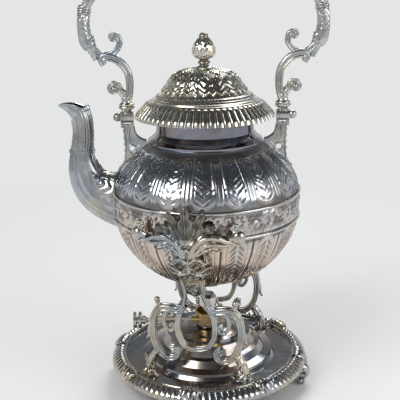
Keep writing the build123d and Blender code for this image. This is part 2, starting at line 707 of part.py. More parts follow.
def bracket_slab():
    """The bracket's thickness: a curved sheet, wide enough for everything cut from it."""
    inner = bracket_inner()
    outer = bracket_inner(BRACKET_T)
    first = Spline(*[Vector(0, -d, z) for d, z in inner])
    second = Spline(*[Vector(0, -d, z) for d, z in outer])
    ends = [Line(first @ 0, second @ 0), Line(first @ 1, second @ 1)]
    side = make_face(Wire([first, second, *ends]))
    return extrude(side, 70, dir=(1, 0, 0), both=True)


def outline_plate(points):
    """A flat outline (across, height) stretched right through the slab."""
    face = make_face(Polyline(*[Vector(x, 0, z) for x, z in points], close=True))
    return extrude(face, 140, dir=(0, -1, 0))


def both_sides(points):
    """An outline's right half, from top to bottom, and its mirror image."""
    return points + [(-x, z) for x, z in reversed(points)]


def bracket_front():
    """Everything the bracket shows from the front, as one flat outline."""
    n, m = BRACKET_NECK_HALF, MASK_HALF
    return both_sides([
        (1.5, CREST_Z), (6, CREST_Z - 5), (9, CREST_Z - 2.5), (13, CREST_Z - 8), (17, CREST_Z - 6.5),
        (CREST_HALF, CREST_Z - 13), (CREST_HALF - 3, CREST_Z - 19), (12, CREST_Z - 25),
        (12, MASK_Z + 24), (m + 3, MASK_Z + 14), (m, MASK_Z + 5), (m - 1, MASK_Z - 5),
        (m - 5, MASK_Z - 15), (n + 2, BRACKET_NECK_Z + 8), (n, BRACKET_NECK_Z),
        (n - 0.5, BRACKET_NECK_Z - 8), (n + 3, BRACKET_NECK_Z - 18), (n + 6, BRACKET_NECK_Z - 26),
    ])


def scroll_leg(side):
    """One C scroll: from the knob by the neck, out and down to the foot on the base."""
    y = -BRACKET_FOOT_D - BRACKET_T / 2
    foot_z = FLOOR_Z
    path = arc_chain((side * 11, y, BRACKET_NECK_Z - 12), (side * 0.35, 0, -1),
                     [(side * 24, y, BRACKET_NECK_Z - 22), (side * KNOB_S, y, KNOB_Z - 9)])
    knob = boss(side * (KNOB_S + 1), y, KNOB_Z - 4, 3.4, 6.4)
    neck = rod((side * KNOB_S, y, KNOB_Z - 9), (side * (KNOB_S + 1), y, KNOB_Z - 4), 2.2)
    bow = arc_chain((side * 24, y, BRACKET_NECK_Z - 22), (side * 1.0, 0, 0.05),
                    [(side * (KNOB_S + 4), y, 66), (side * (KNOB_S + 3), y, 42),
                     (side * 30, y, 27)])
    curl = arc_chain((side * 30, y, 27), (-side * 1.0, 0, 0.1),
                     [(side * 22, y, 35), (side * 27, y, 42)])
    leg = rod((side * (KNOB_S - 1), y, 33), (side * BRACKET_FOOT_S, y, foot_z + 7), 3.4)
    cone = Pos(side * BRACKET_FOOT_S, y, foot_z + 4.5) * Cone(6.0, 3.6, 9)
    stud = rod((side * BRACKET_FOOT_S, y, foot_z - 8), (side * BRACKET_FOOT_S, y, foot_z + 2),
               BRACKET_SCREW_R)
    shape = tube(bow, 2.9) + tube(path, 2.6) + neck + knob
    shape = shape + tube(curl, 2.4) + leg + cone + stud
    return shape


def cradle_arms():
    """The two level arms that reach round the belly, as a ring cut to the arms' outline."""
    inner = BELLY_R + WIRE_R * 1.5 + CRADLE_GAP
    low, high = CRADLE_Z - 16, CRADLE_Z + 5
    ring = turned([(inner, low), (inner + BRACKET_T, low), (inner + BRACKET_T, high), (inner, high)])
    z = CRADLE_Z
    arms = None
    for side in (-1, 1):
        outline = [(0, z - 15), (0, z + 1), (20, z + 3), (CRADLE_S - 11, z), (CRADLE_S, z + 2),
                   (CRADLE_S, z - 3), (CRADLE_S - 11, z - 5), (20, z - 6), (12, z - 15)]
        arm = ring & outline_plate([(side * x, h) for x, h in outline])
        arms = arm if arms is None else arms + arm
    return arms


def boss(x, y, z, radius, height):
    """A short turned boss whose axis runs front to back."""
    return Pos(x, y, z) * Rot(90, 0, 0) * Cylinder(radius, height)


def bracket(turn):
    """One bracket: scroll legs, neck, mask, cradle arms with ball ends, and the leaf crest."""
    shape = (bracket_slab() & outline_plate(bracket_front())) + cradle_arms()
    ball_r = BELLY_R + WIRE_R * 1.5 + CRADLE_GAP + CRADLE_BALL_R / 2
    ball_y = -(ball_r ** 2 - CRADLE_S ** 2) ** 0.5
    for side in (-1, 1):
        shape += ball(side * CRADLE_S, ball_y, CRADLE_Z, CRADLE_BALL_R)
    room = kettle_block()
    shape -= room
    face_y = -belly_radius(MASK_Z)
    for side in (-1, 1):
        shape += boss(side * 8, face_y - 5, MASK_Z + 5, 5.2, 8) - room
    shape += boss(0, face_y - 6, MASK_Z - 3, 5.0, 10) - room
    shape += boss(0, -belly_radius(MASK_Z - 12) - 5, MASK_Z - 13, 5.5, 8) - room
    for side in (-1, 1):
        shape += scroll_leg(side)
    return around(shape, STAND_TURN + turn)


def kettle_block():
    """What the kettle and its wires sweep when it is lifted out, with the cradle's gap."""
    grown = body_block(CRADLE_GAP)
    wires = Pos(0, 0, (LOWER_WIRE_Z + CREST_Z + 60) / 2) * Cylinder(
        BELLY_R + WIRE_R * 1.5 + CRADLE_GAP, CREST_Z + 60 - LOWER_WIRE_Z + 4)
    return grown + wires


def bracket_nuts():
    """Four round nuts under the base, one on each bracket stud."""
    nuts = []
    nut_z = FLOOR_Z - WALL - BRACKET_NUT_H / 2
    for turn in (0, 180):
        for s in (-BRACKET_FOOT_S, BRACKET_FOOT_S):
            nut = Cylinder(BRACKET_NUT_R, BRACKET_NUT_H)
            nut -= Cylinder(BRACKET_SCREW_R + SEAM / 2, BRACKET_NUT_H + 2)
            place = Pos(s, -BRACKET_FOOT_D - BRACKET_T / 2, nut_z)
            nuts.append(around(place * nut, STAND_TURN + turn))
    return Compound(children=nuts)


# ---------------------------------------------------------------- spirit lamp
def lamp_font():
    """The spirit reservoir: a bowl hung by its flange in the platform's opening."""
    w = FONT_WALL
    seat = PLATFORM_Z + SEAM
    return turned([
        (0, FONT_BOTTOM_Z), (FONT_R - 5, FONT_BOTTOM_Z), (FONT_R, FONT_BOTTOM_Z + 5), (FONT_R, seat),
        (FONT_FLANGE_R, seat), (FONT_FLANGE_R, seat + w), (FONT_R + 2, seat + w + 0.6),
        (FONT_R - 7, FONT_TOP_Z - 1.5), (FONT_MOUTH_R + 1.5, FONT_TOP_Z), (FONT_MOUTH_R + 1.5, BURNER_Z),
        (FONT_MOUTH_R, BURNER_Z), (FONT_MOUTH_R, FONT_TOP_Z - w), (FONT_R - 7, FONT_TOP_Z - 1.5 - w),
        (FONT_R - w, seat), (FONT_R - w, FONT_BOTTOM_Z + 5.5), (FONT_R - 5.5, FONT_BOTTOM_Z + w),
        (0, FONT_BOTTOM_Z + w),
    ])


def spindle_y():
    """The spindle runs in front of the wick, so that its wheels bear on it."""
    return -(WICK_R + WHEEL_R + SEAM)


def burner_collar():
    """The brass burner: a plug in the font's mouth and a sleeve around the wick tube."""
    w = FONT_WALL
    shape = turned([
        (WICK_TUBE_R + SEAM, BURNER_Z), (BURNER_R, BURNER_Z), (BURNER_R, BURNER_TOP_Z),
        (BURNER_R - w, BURNER_TOP_Z), (BURNER_R - w, BURNER_Z + w), (WICK_TUBE_R + SEAM, BURNER_Z + w),
    ])
    plug = turned([
        (FONT_MOUTH_R - w - SEAM, BURNER_Z), (FONT_MOUTH_R - SEAM, BURNER_Z),
        (FONT_MOUTH_R - SEAM, BURNER_Z - 3), (FONT_MOUTH_R - w - SEAM, BURNER_Z - 3)])
    shape += plug
    inner = SNUFFER_EYE_HALF + PLAY
    for side in (-1, 1):
        y = side * (inner + w / 2)
        ear = rod((SNUFFER_HINGE_X, y - w / 2, SNUFFER_HINGE_Z),
                  (SNUFFER_HINGE_X, y + w / 2, SNUFFER_HINGE_Z), SNUFFER_EYE_R)
        low = BURNER_TOP_Z - 5
        web = Pos(SNUFFER_HINGE_X, y, (low + SNUFFER_HINGE_Z) / 2) * Box(
            2 * SNUFFER_EYE_R, w, SNUFFER_HINGE_Z - low)
        shape = shape + ear + web
    shape -= rod((SNUFFER_HINGE_X, -9, SNUFFER_HINGE_Z), (SNUFFER_HINGE_X, 9, SNUFFER_HINGE_Z),
                 SNUFFER_PIN_R)
    return shape - rod((-30, spindle_y(), SPINDLE_Z), (30, spindle_y(), SPINDLE_Z),
                       SPINDLE_R + RUNNING)


def wick_tube():
    tube_wall = turned([
        (WICK_R + SEAM, BURNER_Z - 6), (WICK_TUBE_R, BURNER_Z - 6),
        (WICK_TUBE_R, WICK_TUBE_TOP_Z), (WICK_R + SEAM, WICK_TUBE_TOP_Z)])
    slot = Pos(0, spindle_y(), SPINDLE_Z) * Box(
        2 * WHEEL_X + WHEEL_W + 1, 2 * WHEEL_R + 0.6, 2 * WHEEL_R + 0.6)
    return tube_wall - slot


def wick():
    return Pos(0, 0, (WICK_TOP_Z + WICK_BOTTOM_Z) / 2) * Cylinder(WICK_R, WICK_TOP_Z - WICK_BOTTOM_Z)


def wick_spindle():
    y = spindle_y()
    return rod((KNOB_X, y, SPINDLE_Z), (BURNER_R - 2, y, SPINDLE_Z), SPINDLE_R)


def wick_wheels():
    """The two small spur wheels that grip the wick."""
    wheels = []
    for x in (-WHEEL_X, WHEEL_X):
        wheel = rod((x - WHEEL_W / 2, spindle_y(), SPINDLE_Z), (x + WHEEL_W / 2, spindle_y(), SPINDLE_Z),
                    WHEEL_R)
        wheels.append(wheel - wick_spindle())
    return Compound(children=wheels)


def spindle_gland():
    """The bush on the burner's side that the spindle turns in."""
    y = spindle_y()
    bush = rod((-BURNER_R - GLAND_L, y, SPINDLE_Z), (-BURNER_R / 2, y, SPINDLE_Z), GLAND_R)
    bush -= rod((-BURNER_R - GLAND_L - 1, y, SPINDLE_Z), (0, y, SPINDLE_Z), SPINDLE_R + RUNNING)
    return bush - Pos(0, 0, BURNER_Z) * Cylinder(BURNER_R + SEAM, 60)


def wick_knob():
    """The milled double disc and its hub, pressed on the spindle's end."""
    y, t, gap = spindle_y(), KNOB_DISC_T, KNOB_GAP
    left = KNOB_X - gap / 2 - t
    knob = rod((left, y, SPINDLE_Z), (left + t, y, SPINDLE_Z), KNOB_R)
    knob += rod((left + t + gap, y, SPINDLE_Z), (left + 2 * t + gap, y, SPINDLE_Z), KNOB_R)
    knob += rod((left, y, SPINDLE_Z), (left + 2 * t + gap + 4, y, SPINDLE_Z), KNOB_R / 2)
    knob += Pos(left + 2 * t + gap + 5, y, SPINDLE_Z) * Sphere(3.0)
    return knob - wick_spindle()


def snuffer_cap():
    """The cap over the wick tube, with the slanted arm down to its hinge eye."""
    w = SNUFFER_WALL
    cap = turned([
        (SNUFFER_R - w, SNUFFER_LOW_Z), (SNUFFER_R, SNUFFER_LOW_Z), (SNUFFER_R, SNUFFER_TOP_Z - 3),
        (SNUFFER_R - 2.5, SNUFFER_TOP_Z), (0, SNUFFER_TOP_Z), (0, SNUFFER_TOP_Z - w),
        (SNUFFER_R - w - 1, SNUFFER_TOP_Z - w), (SNUFFER_R - w, SNUFFER_TOP_Z - 3 - w),
    ])
    x, z, half = SNUFFER_HINGE_X, SNUFFER_HINGE_Z, SNUFFER_EYE_HALF
    eye = rod((x, -half, z), (x, half, z), SNUFFER_EYE_R)
    top = Vector(SNUFFER_R - 0.4, 0, SNUFFER_LOW_Z + 4.5)
    run = Vector(x, 0, z) - top
    plane = Plane(origin=top, x_dir=(0, 1, 0), z_dir=run)
    arm = plane * extrude(Rectangle(2 * half, 2.0), run.length)
    bore = rod((x, -9, z), (x, 9, z), SNUFFER_PIN_R + RUNNING)
    return cap + arm + eye - bore


def snuffer_pin():
    half = SNUFFER_EYE_HALF + PLAY + FONT_WALL + 0.6
    x, z = SNUFFER_HINGE_X, SNUFFER_HINGE_Z
    return rod((x, -half, z), (x, half, z), SNUFFER_PIN_R)


# ---------------------------------------------------------------- the assembly
def main():
    os.makedirs("parts", exist_ok=True)
    pieces = {
        "kettle_body": kettle_body(), "kettle_foot_ring": kettle_foot_ring(),
        "band_wire_upper": band_wire(UPPER_WIRE_Z), "band_wire_lower": band_wire(LOWER_WIRE_Z),
        "neck_collar": neck_collar(), "spout": spout(), "spout_lip": spout_lip(),
        "spout_collar": spout_collar(), "spout_flange": spout_flange(),
        "lid_dome": lid_dome(), "lid_rim": lid_rim(), "lid_bezel": lid_bezel(),
        "lid_knuckle": lid_knuckle(), "lid_hinge_leaf": lid_hinge_leaf(),
        "lid_hinge_pin": lid_hinge_pin(), "finial": finial(), "finial_washer": finial_washer(),
        "finial_nut": finial_nut(), "handle_grip": handle_grip(), "grip_rod": grip_rod(),
        "base_plate": base_plate(), "base_rim": base_rim(), "bracket_front": bracket(0),
        "bracket_rear": bracket(180), "bracket_nuts": bracket_nuts(), "lamp_font": lamp_font(),
        "burner_collar": burner_collar(), "wick_tube": wick_tube(), "wick": wick(),
        "wick_spindle": wick_spindle(), "wick_wheels": wick_wheels(),
        "spindle_gland": spindle_gland(), "wick_knob": wick_knob(), "snuffer_cap": snuffer_cap(),
        "snuffer_pin": snuffer_pin(),
    }
    for half, side in HALVES.items():
        pieces[f"handle_lug_{half}"] = lug(side)
        pieces[f"handle_pin_{half}"] = handle_pin(side)
        pieces[f"handle_arm_{half}"] = handle_arm(side)
        pieces[f"grip_ferrule_{half}"] = grip_ferrule(side)
    for index in range(FEET):
        pieces[f"base_foot_{index + 1}"] = base_foot(index)
    place = Pos(origin_x(pieces["spout_lip"], pieces["handle_arm_heel"]), 0, FEET_HEIGHT)
    for name, shape in pieces.items():
        save(name, shape, place)


if __name__ == "__main__":
    main()
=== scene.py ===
"""Looks for a chased spirit kettle that lies in its stand over a small lamp.

Lengths are millimetres in the kettle's own setting: its axis is x = 0, y = 0 and heights are measured
from the lower edge of the base rim, as in the part's source. placed() turns them into the frame's metres.
"""
import bmesh
import bpy
import numpy as np
from math import atan2, cos, hypot, pi, radians, sin, tau
from mathutils import Euler, Matrix, Vector


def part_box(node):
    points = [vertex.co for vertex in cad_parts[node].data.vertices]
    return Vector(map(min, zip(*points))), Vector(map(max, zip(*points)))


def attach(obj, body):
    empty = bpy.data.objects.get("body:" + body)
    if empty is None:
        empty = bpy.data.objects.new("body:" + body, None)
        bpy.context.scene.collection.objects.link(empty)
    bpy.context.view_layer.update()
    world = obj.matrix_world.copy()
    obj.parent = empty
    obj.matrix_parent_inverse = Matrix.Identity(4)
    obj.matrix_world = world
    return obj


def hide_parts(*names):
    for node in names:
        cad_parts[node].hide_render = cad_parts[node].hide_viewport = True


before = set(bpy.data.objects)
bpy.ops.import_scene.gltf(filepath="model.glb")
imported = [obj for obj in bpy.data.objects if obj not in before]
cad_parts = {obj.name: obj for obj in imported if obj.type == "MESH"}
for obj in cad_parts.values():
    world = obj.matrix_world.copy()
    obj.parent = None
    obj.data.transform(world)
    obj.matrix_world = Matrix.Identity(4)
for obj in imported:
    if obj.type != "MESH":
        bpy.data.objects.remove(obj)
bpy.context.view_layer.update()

# ------------------------------------------------------------------ the kettle's setting in the frame
rim_low, rim_high = (Vector(corner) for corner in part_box("base_rim"))
AXIS_X = (rim_low.x + rim_high.x) / 2
LIFT = rim_low.z
MM = 0.001
SETTING = Matrix.Translation((AXIS_X, 0, LIFT)) @ Matrix.Scale(MM, 4)

# driving dimensions, as in the part's source
NECK_R, NECK_Z = 54.5, 232.0
BELLY_R, BELLY_Z = 92.0, 175.0
LOW_R, LOW_Z = 81.5, 133.0
BOTTOM_R, BOTTOM_Z = 25.0, 92.0
UPPER_WIRE_Z, LOWER_WIRE_Z = 185.0, 160.0
WALL = 1.6
LID_RIM_R, LID_RIM_Z = 67.5, 257.0
LID_RING_R, LID_RING_Z = 52.0, 273.0
LID_STEP_R, LID_STEP_Z = 41.0, 282.0
LID_CROWN_R, LID_CROWN_Z = 29.0, 297.0
LID_TOP_Z = 302.0
BASE_R, RIM_H, RIM_INNER_R = 101.5, 12.0, 87.0
PIVOT_X, PIVOT_Z = 75.3, 257.0
ARM_REACH, ARM_R, ARM_WIDEST_Z, ARM_TOP_Z = 119.0, 5.8, 347.0, 384.0
GRIP_HALF, GRIP_END_Z, FERRULE_L = 70.0, 375.5, 7.0
STAND_TURN = -11.0
BRACKET_D, BRACKET_T = 58.0, 5.0
FOOT_S = 48.0
MASK_Z, CREST_Z = 132.0, 188.0
CRADLE_Z, CRADLE_S, CRADLE_BALL_R, CRADLE_GAP, WIRE_R = 165.0, 45.0, 6.4, 0.6, 1.6
FEET_HEIGHT, FOOT_REACH, FOOT_W = 22.0, 107.0, 14.0


# ------------------------------------------------------------------ shader maths
class Value:
    """A number or colour that changes over a surface. Arithmetic on it adds Math nodes."""

    def __init__(self, finish, socket):
        self.finish, self.socket = finish, socket

    def maths(self, operation, *others):
        return self.finish.node("ShaderNodeMath", {"operation": operation}, [self, *others])

    def __add__(self, other):
        return self.maths("ADD", other)

    def __sub__(self, other):
        return self.maths("SUBTRACT", other)

    def __rsub__(self, other):
        return self.maths("MULTIPLY", -1.0).maths("ADD", other)

    def __mul__(self, other):
        return self.maths("MULTIPLY", other)

    def __truediv__(self, other):
        return self.maths("DIVIDE", other)

    def __pow__(self, other):
        return self.maths("POWER", other)

    __radd__, __rmul__ = __add__, __mul__

    def clamped(self):
        return self.maths("MAXIMUM", 0.0).maths("MINIMUM", 1.0)

    def between(self, low, high):
        """0 below low, 1 above high, straight between."""
        return ((self - low) / (high - low)).clamped()


class Nodes:
    """A node tree, with one method that adds any node."""

    def __init__(self, tree):
        self.tree = tree
        self.tree.nodes.clear()

    def node(self, kind, settings=None, inputs=(), output=0):
        """Adds a node: its settings first, then its inputs by order or by name."""
        made = self.tree.nodes.new(kind)
        for name, value in (settings or {}).items():
            if name == "stops":
                elements = made.color_ramp.elements
                elements.remove(elements[1])
                for place, colour in value:
                    element = elements[0] if place == value[0][0] else elements.new(place)
                    element.position, element.color = place, (*colour, 1.0)
            else:
                setattr(made, name, value)
        pairs = inputs.items() if isinstance(inputs, dict) else enumerate(inputs)
        for key, value in pairs:
            if isinstance(value, Value):
                self.tree.links.new(value.socket, made.inputs[key])
            elif value is not None:
                made.inputs[key].default_value = value
        return Value(self, made.outputs[output] if made.outputs else None)

    def link(self, value, socket):
        self.tree.links.new(value.socket, socket)


class Finish(Nodes):
    """A material with its shader ready."""

    def __init__(self, name, **levels):
        self.material = bpy.data.materials.new(name)
        self.material.use_nodes = True
        super().__init__(self.material.node_tree)
        self.shader = self.tree.nodes.new("ShaderNodeBsdfPrincipled")
        output = self.tree.nodes.new("ShaderNodeOutputMaterial")
        self.tree.links.new(self.shader.outputs[0], output.inputs[0])
        for socket, level in levels.items():
            self.shader.inputs[socket.replace("_", " ").title()].default_value = level

    def drive(self, socket, value):
        self.link(value, self.shader.inputs[socket])

    def coordinates(self):
        return self.node("ShaderNodeTexCoord", output="Object")

    def noise(self, where, scale, detail=4.0, roughness=0.55, distortion=0.0):
        return self.node("ShaderNodeTexNoise", {}, {"Vector": where, "Scale": scale, "Detail": detail,
                         "Roughness": roughness, "Distortion": distortion})

    def blend(self, factor, first, second):
        """A colour between two colours, either of which may be a Value."""
        return self.node("ShaderNodeMix", {"data_type": "RGBA", "clamp_factor": True},
                         {0: factor, 6: shade(first), 7: shade(second)}, output=2)

    def bump(self, height, distance, strength=1.0):
        self.drive("Normal", self.node("ShaderNodeBump", {}, {"Strength": strength, "Distance": distance,
                                       "Height": height}))


def shade(colour):
    """Fills a plain colour's fourth number."""
    return colour if isinstance(colour, Value) else (*colour, 1.0)


# ------------------------------------------------------------------ finishes
def silver(name, cool, warm, rough, reflection_heights=None, chased=True, tarnished=0.5, scratch=0.25):
    """Old silver plate: blue-grey and gold clouds, dark hollows, and burnished high points.

    heights gives two levels in the frame between which the plate turns from warm to cool: a painted reflection,
    warm low down and cool higher up."""
    finish = Finish(name, metallic=1.0, roughness=rough)
    where = finish.coordinates()
    cloud = finish.noise(where, 34.0, 5.0, 0.62, 0.8)
    drift = finish.noise(where, 13.0, 3.0, 0.55, 1.4)
    bloom = finish.noise(where, 150.0, 3.0, 0.6)
    grain = finish.noise(where, 1500.0, 2.0, 0.6)
    tone = drift.between(0.38, 0.62)
    # painted reflection: the plate is warm low on the surface and cool higher up, between the two levels given
    if reflection_heights:
        height = finish.node("ShaderNodeSeparateXYZ", {}, [where], output=2)
        tone = (tone * 0.55 + height.between(*reflection_heights) * 0.75 - 0.15).clamped()
    plate = finish.blend(tone, warm, cool)
    dull = finish.blend(tone, [level * 0.34 for level in warm], [level * 0.36 for level in cool])
    veil = (cloud.between(0.45, 0.68) * tarnished + bloom.between(0.5, 0.8) * 0.2).clamped()
    plate = finish.blend(veil, plate, dull)
    if chased:
        relief = finish.node("ShaderNodeAttribute", {"attribute_name": "relief"}, output=2)
        hollow = (1.0 - relief.between(0.18, 0.58)) * 0.95
        plate = finish.blend(hollow, plate, HOLLOW)
        veil = (veil * 0.6 + hollow).clamped()
    finish.drive("Base Color", plate)
    finish.drive("Roughness", (veil * 0.28 + bloom * 0.08 + (rough - 0.04)).clamped())
    finish.bump(grain * 0.35 + bloom, 0.00012, scratch)
    return finish.material


def painted(name, colour, dark, rough, scale, distance, **levels):
    """A plain finish with fine wear: the grip, the steel and the lamp's parts."""
    finish = Finish(name, roughness=rough, **levels)
    where = finish.coordinates()
    cloud = finish.noise(where, 60.0, 4.0, 0.6)
    grain = finish.noise(where, scale, 3.0, 0.6)
    finish.drive("Base Color", finish.blend((cloud.between(0.35, 0.7) * 0.7 + grain * 0.3), colour, dark))
    finish.drive("Roughness", (cloud * 0.22 + rough - 0.1).clamped())
    finish.bump(grain, distance, 0.5)
    return finish.material


def plaited(name, colour, dark):
    """Cotton wick: two sets of diagonal strands around the rod."""
    finish = Finish(name, roughness=0.95)
    where = finish.coordinates()
    weave = finish.node("ShaderNodeTexWave", {"wave_type": "BANDS", "bands_direction": "DIAGONAL"},
                        {"Vector": where, "Scale": 260.0, "Distortion": 1.5})
    fuzz = finish.noise(where, 900.0, 3.0)
    finish.drive("Base Color", finish.blend(weave * 0.6 + fuzz * 0.4, dark, colour))
    finish.bump(weave + fuzz, 0.0004, 0.7)
    return finish.material


HOLLOW = (0.035, 0.029, 0.026)
# The silver colours below are darker than clean silver: partly tarnish, partly a painted dark reflection.
FINISHES = {
    # the belly's two levels give a painted reflection: warm on the lower belly, cool on the upper belly
    "belly": silver("belly_silver", (0.55, 0.585, 0.63), (0.74, 0.60, 0.49), 0.15,
                    (LIFT + 0.135, LIFT + 0.200)),
    "lid": silver("lid_silver", (0.62, 0.62, 0.59), (0.72, 0.67, 0.53), 0.17, tarnished=0.6),
    "cast": silver("cast_silver", (0.46, 0.50, 0.545), (0.62, 0.60, 0.54), 0.2, tarnished=0.6),
    "stand": silver("stand_silver", (0.45, 0.475, 0.50), (0.60, 0.54, 0.44), 0.16, tarnished=0.5),
    # polished silver for the neck collar and foot ring; its dark navy colour is a painted dark reflection
    "polished_dark_reflection": silver("polished_silver_dark_reflection", (0.24, 0.265, 0.335), (0.36, 0.31, 0.31), 0.07, None, False, 0.4,
                       0.1),
    "wire": silver("wire_silver", (0.62, 0.63, 0.64), (0.70, 0.66, 0.58), 0.14, None, False, 0.4, 0.1),
    "plain_cast": silver("plain_cast_silver", (0.44, 0.47, 0.50), (0.58, 0.55, 0.50), 0.2, None, False,
                         0.55, 0.2),
    "plain_lid": silver("plain_lid_silver", (0.55, 0.53, 0.46), (0.66, 0.58, 0.42), 0.2, None, False, 0.5),
    # base plate and lamp font: dark, with warm brown, a painted reflection
    "base_painted_reflection": silver("base_silver_painted_reflection", (0.30, 0.32, 0.36), (0.46, 0.40, 0.34), 0.1, None, False, 0.6, 0.14),
    "brass": painted("lamp_brass", (0.72, 0.56, 0.28), (0.38, 0.27, 0.12), 0.3, 700.0, 0.0001,
                     metallic=1.0),
    "steel": painted("steel_rod", (0.86, 0.82, 0.72), (0.60, 0.54, 0.44), 0.35, 900.0, 0.0001,
                     metallic=1.0),
    "grip": painted("grip_grey", (0.27, 0.27, 0.28), (0.15, 0.15, 0.155), 0.55, 420.0, 0.0004),
    "wick": plaited("wick_cotton", (0.80, 0.76, 0.66), (0.50, 0.45, 0.36)),
}


# ------------------------------------------------------------------ mesh helpers
def smooth(points, per_span=8):
    """A smooth line through points, which may be 2-D or 3-D."""
    points = [Vector(p) for p in points]
    ends = [points[0] * 2 - points[1], *points, points[-1] * 2 - points[-2]]
    line = []
    for a, b, c, d in zip(ends, ends[1:], ends[2:], ends[3:]):
        for step in range(per_span):
            t = step / per_span
            line.append(0.5 * (2 * b + (c - a) * t + (2 * a - 5 * b + 4 * c - d) * t ** 2
                               + (3 * b - a - 3 * c + d) * t ** 3))
    return line + [points[-1]]


def even(points, step):
    """The same line with points at even spacing."""
    lengths = [0.0]
    for a, b in zip(points, points[1:]):
        lengths.append(lengths[-1] + (b - a).length)
    count = max(2, round(lengths[-1] / step))
    wanted = np.linspace(0, lengths[-1], count + 1)
    axes = [np.interp(wanted, lengths, [p[k] for p in points]) for k in range(len(points[0]))]
    return [Vector(row) for row in zip(*axes)]


def lathe(profile, steps, closed=False):
    """Spins a profile of (radius, height) about the axis."""
    bm = bmesh.new()
    verts = [bm.verts.new((r, 0, z)) for r, z in profile]
    edges = [bm.edges.new(pair) for pair in zip(verts, verts[1:] + (verts[:1] if closed else []))]
    bmesh.ops.spin(bm, geom=verts + edges, cent=(0, 0, 0), axis=(0, 0, 1), angle=tau, steps=steps,
                   use_merge=True)
    bmesh.ops.remove_doubles(bm, verts=bm.verts, dist=0.01)
    bmesh.ops.recalc_face_normals(bm, faces=bm.faces)
    return bm


def tube(path, radius, segments=12, squash=1.0, ribs=0, rib=0.1, side=(0, 1, 0)):
    """A round bar along a path in the plane whose normal is side. radius: a number, or a function of t."""
    bm = bmesh.new()
    path = [Vector(p) for p in path]
    side = Vector(side)
    size = radius if callable(radius) else lambda t: radius
    loops = []
    for i, point in enumerate(path):
        along = (path[min(i + 1, len(path) - 1)] - path[max(i - 1, 0)]).normalized()
        up = along.cross(side).normalized()
        across = up.cross(along)
        reach = size(i / (len(path) - 1))
        ring = bmesh.ops.create_circle(bm, segments=segments, radius=1.0)["verts"]
        for k, vert in enumerate(ring):
            angle = tau * k / segments
            out = reach * (1 + rib * cos(ribs * angle) if ribs else 1)
            vert.co = point + up * out * cos(angle) + across * out * squash * sin(angle)
        loops.append([bm.edges.get((ring[k - 1], ring[k])) for k in range(segments)])
    for first, second in zip(loops, loops[1:]):
        bmesh.ops.bridge_loops(bm, edges=first + second)
    for loop in (loops[0], loops[-1]):
        bmesh.ops.contextual_create(bm, geom=loop)
    bmesh.ops.recalc_face_normals(bm, faces=bm.faces)
    return bm


def joined(*parts):
    """One mesh from several; the parts are freed."""
    whole = bmesh.new()
    for part in parts:
        mesh = bpy.data.meshes.new("part")
        part.to_mesh(mesh)
        part.free()
        whole.from_mesh(mesh)
        bpy.data.meshes.remove(mesh)
    return whole


def moved(bm, matrix):
    bmesh.ops.transform(bm, matrix=matrix, verts=bm.verts)
    return bm


def copied(bm, matrix):
    """A copy of a mesh in another place; a mirroring matrix has its faces turned again."""
    copy = bm.copy()
    moved(copy, matrix)
    if matrix.determinant() < 0:
        bmesh.ops.reverse_faces(copy, faces=copy.faces)
    return copy


def turn(angle):
    return Matrix.Rotation(radians(angle), 4, "Z")


def around(bm, count, start=0.0):
    """The mesh repeated evenly around the axis."""
    copies = [copied(bm, turn(start + 360 * k / count)) for k in range(count)]
    bm.free()
    return joined(*copies)


MIRROR_X = Matrix.Scale(-1, 4, (1, 0, 0))


def both(bm):
    """The mesh and its mirror image across x = 0."""
    return joined(bm.copy(), copied(bm, MIRROR_X)) if bm else bm


def relief_of(mesh, height):
    """Marks hollows and edges: 0 in a hollow, 1 on a ridge, for the tarnish."""
    count = len(mesh.vertices)
    points, normals = np.empty(count * 3), np.empty(count * 3)
    mesh.vertices.foreach_get("co", points)
    mesh.vertices.foreach_get("normal", normals)
    points, normals = points.reshape(-1, 3), normals.reshape(-1, 3)
    pairs = np.empty(len(mesh.edges) * 2, int)
    mesh.edges.foreach_get("vertices", pairs)
    first, second = pairs.reshape(-1, 2).T
    line = points[second] - points[first]
    length = np.maximum(np.linalg.norm(line, axis=1), 1e-9)
    links = np.bincount(first, minlength=count) + np.bincount(second, minlength=count)
    links = np.maximum(links, 1)
    lean = np.bincount(first, (normals[first] * line).sum(1) / length, count)
    lean += np.bincount(second, -(normals[second] * line).sum(1) / length, count)
    lean /= links
    for _ in range(2):
        lean = (np.bincount(first, lean[second], count) + np.bincount(second, lean[first], count)
                ) / links * 0.6 + lean * 0.4
    level = 0.55 - lean * 1.3
    if height is not None:
        level = level * 0.45 + height * 0.62
    mesh.attributes.new("relief", "FLOAT", "POINT").data.foreach_set("value", np.clip(level, 0, 1))


def placed(bm, name, body, finish, replaces=(), height=None, angle=40, modifiers=()):
    """Makes a piece of a mesh: into the frame, with its finish, riding on its body."""
    mesh = bpy.data.meshes.new(name)
    if not isinstance(bm, bpy.types.Mesh):
        bm.to_mesh(mesh)
        bm.free()
    else:
        mesh = bm
        mesh.name = name
    relief_of(mesh, height)
    mesh.transform(SETTING)
    mesh.shade_smooth()
    if angle:
        mesh.set_sharp_from_angle(angle=radians(angle))
    piece = bpy.data.objects.new(name, mesh)
    bpy.context.scene.collection.objects.link(piece)
    mesh.materials.append(FINISHES[finish])
    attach(piece, body)
    if replaces:
        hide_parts(*replaces)
    return piece


def dress(finish, *nodes):
    """Gives a carried-over solid its finish."""
    for name in nodes:
        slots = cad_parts[name].material_slots
        if not slots:
            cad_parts[name].data.materials.append(FINISHES[finish])
        for slot in slots:
            slot.material = FINISHES[finish]


# ------------------------------------------------------------------ ornament, as heights in millimetres
def ridge(distance, width):
    """A soft rounded ridge along distance 0."""
    return np.exp(-(distance / width) ** 2)


def folded(value, period):
    """Distance from the middle of the repeat that value is in, and the repeat's number."""
    number = np.floor(value / period + 0.5)
    return value - number * period, number


def ramp(value, low, high):
    t = np.clip((value - low) / (high - low), 0, 1)
    return t * t * (3 - 2 * t)


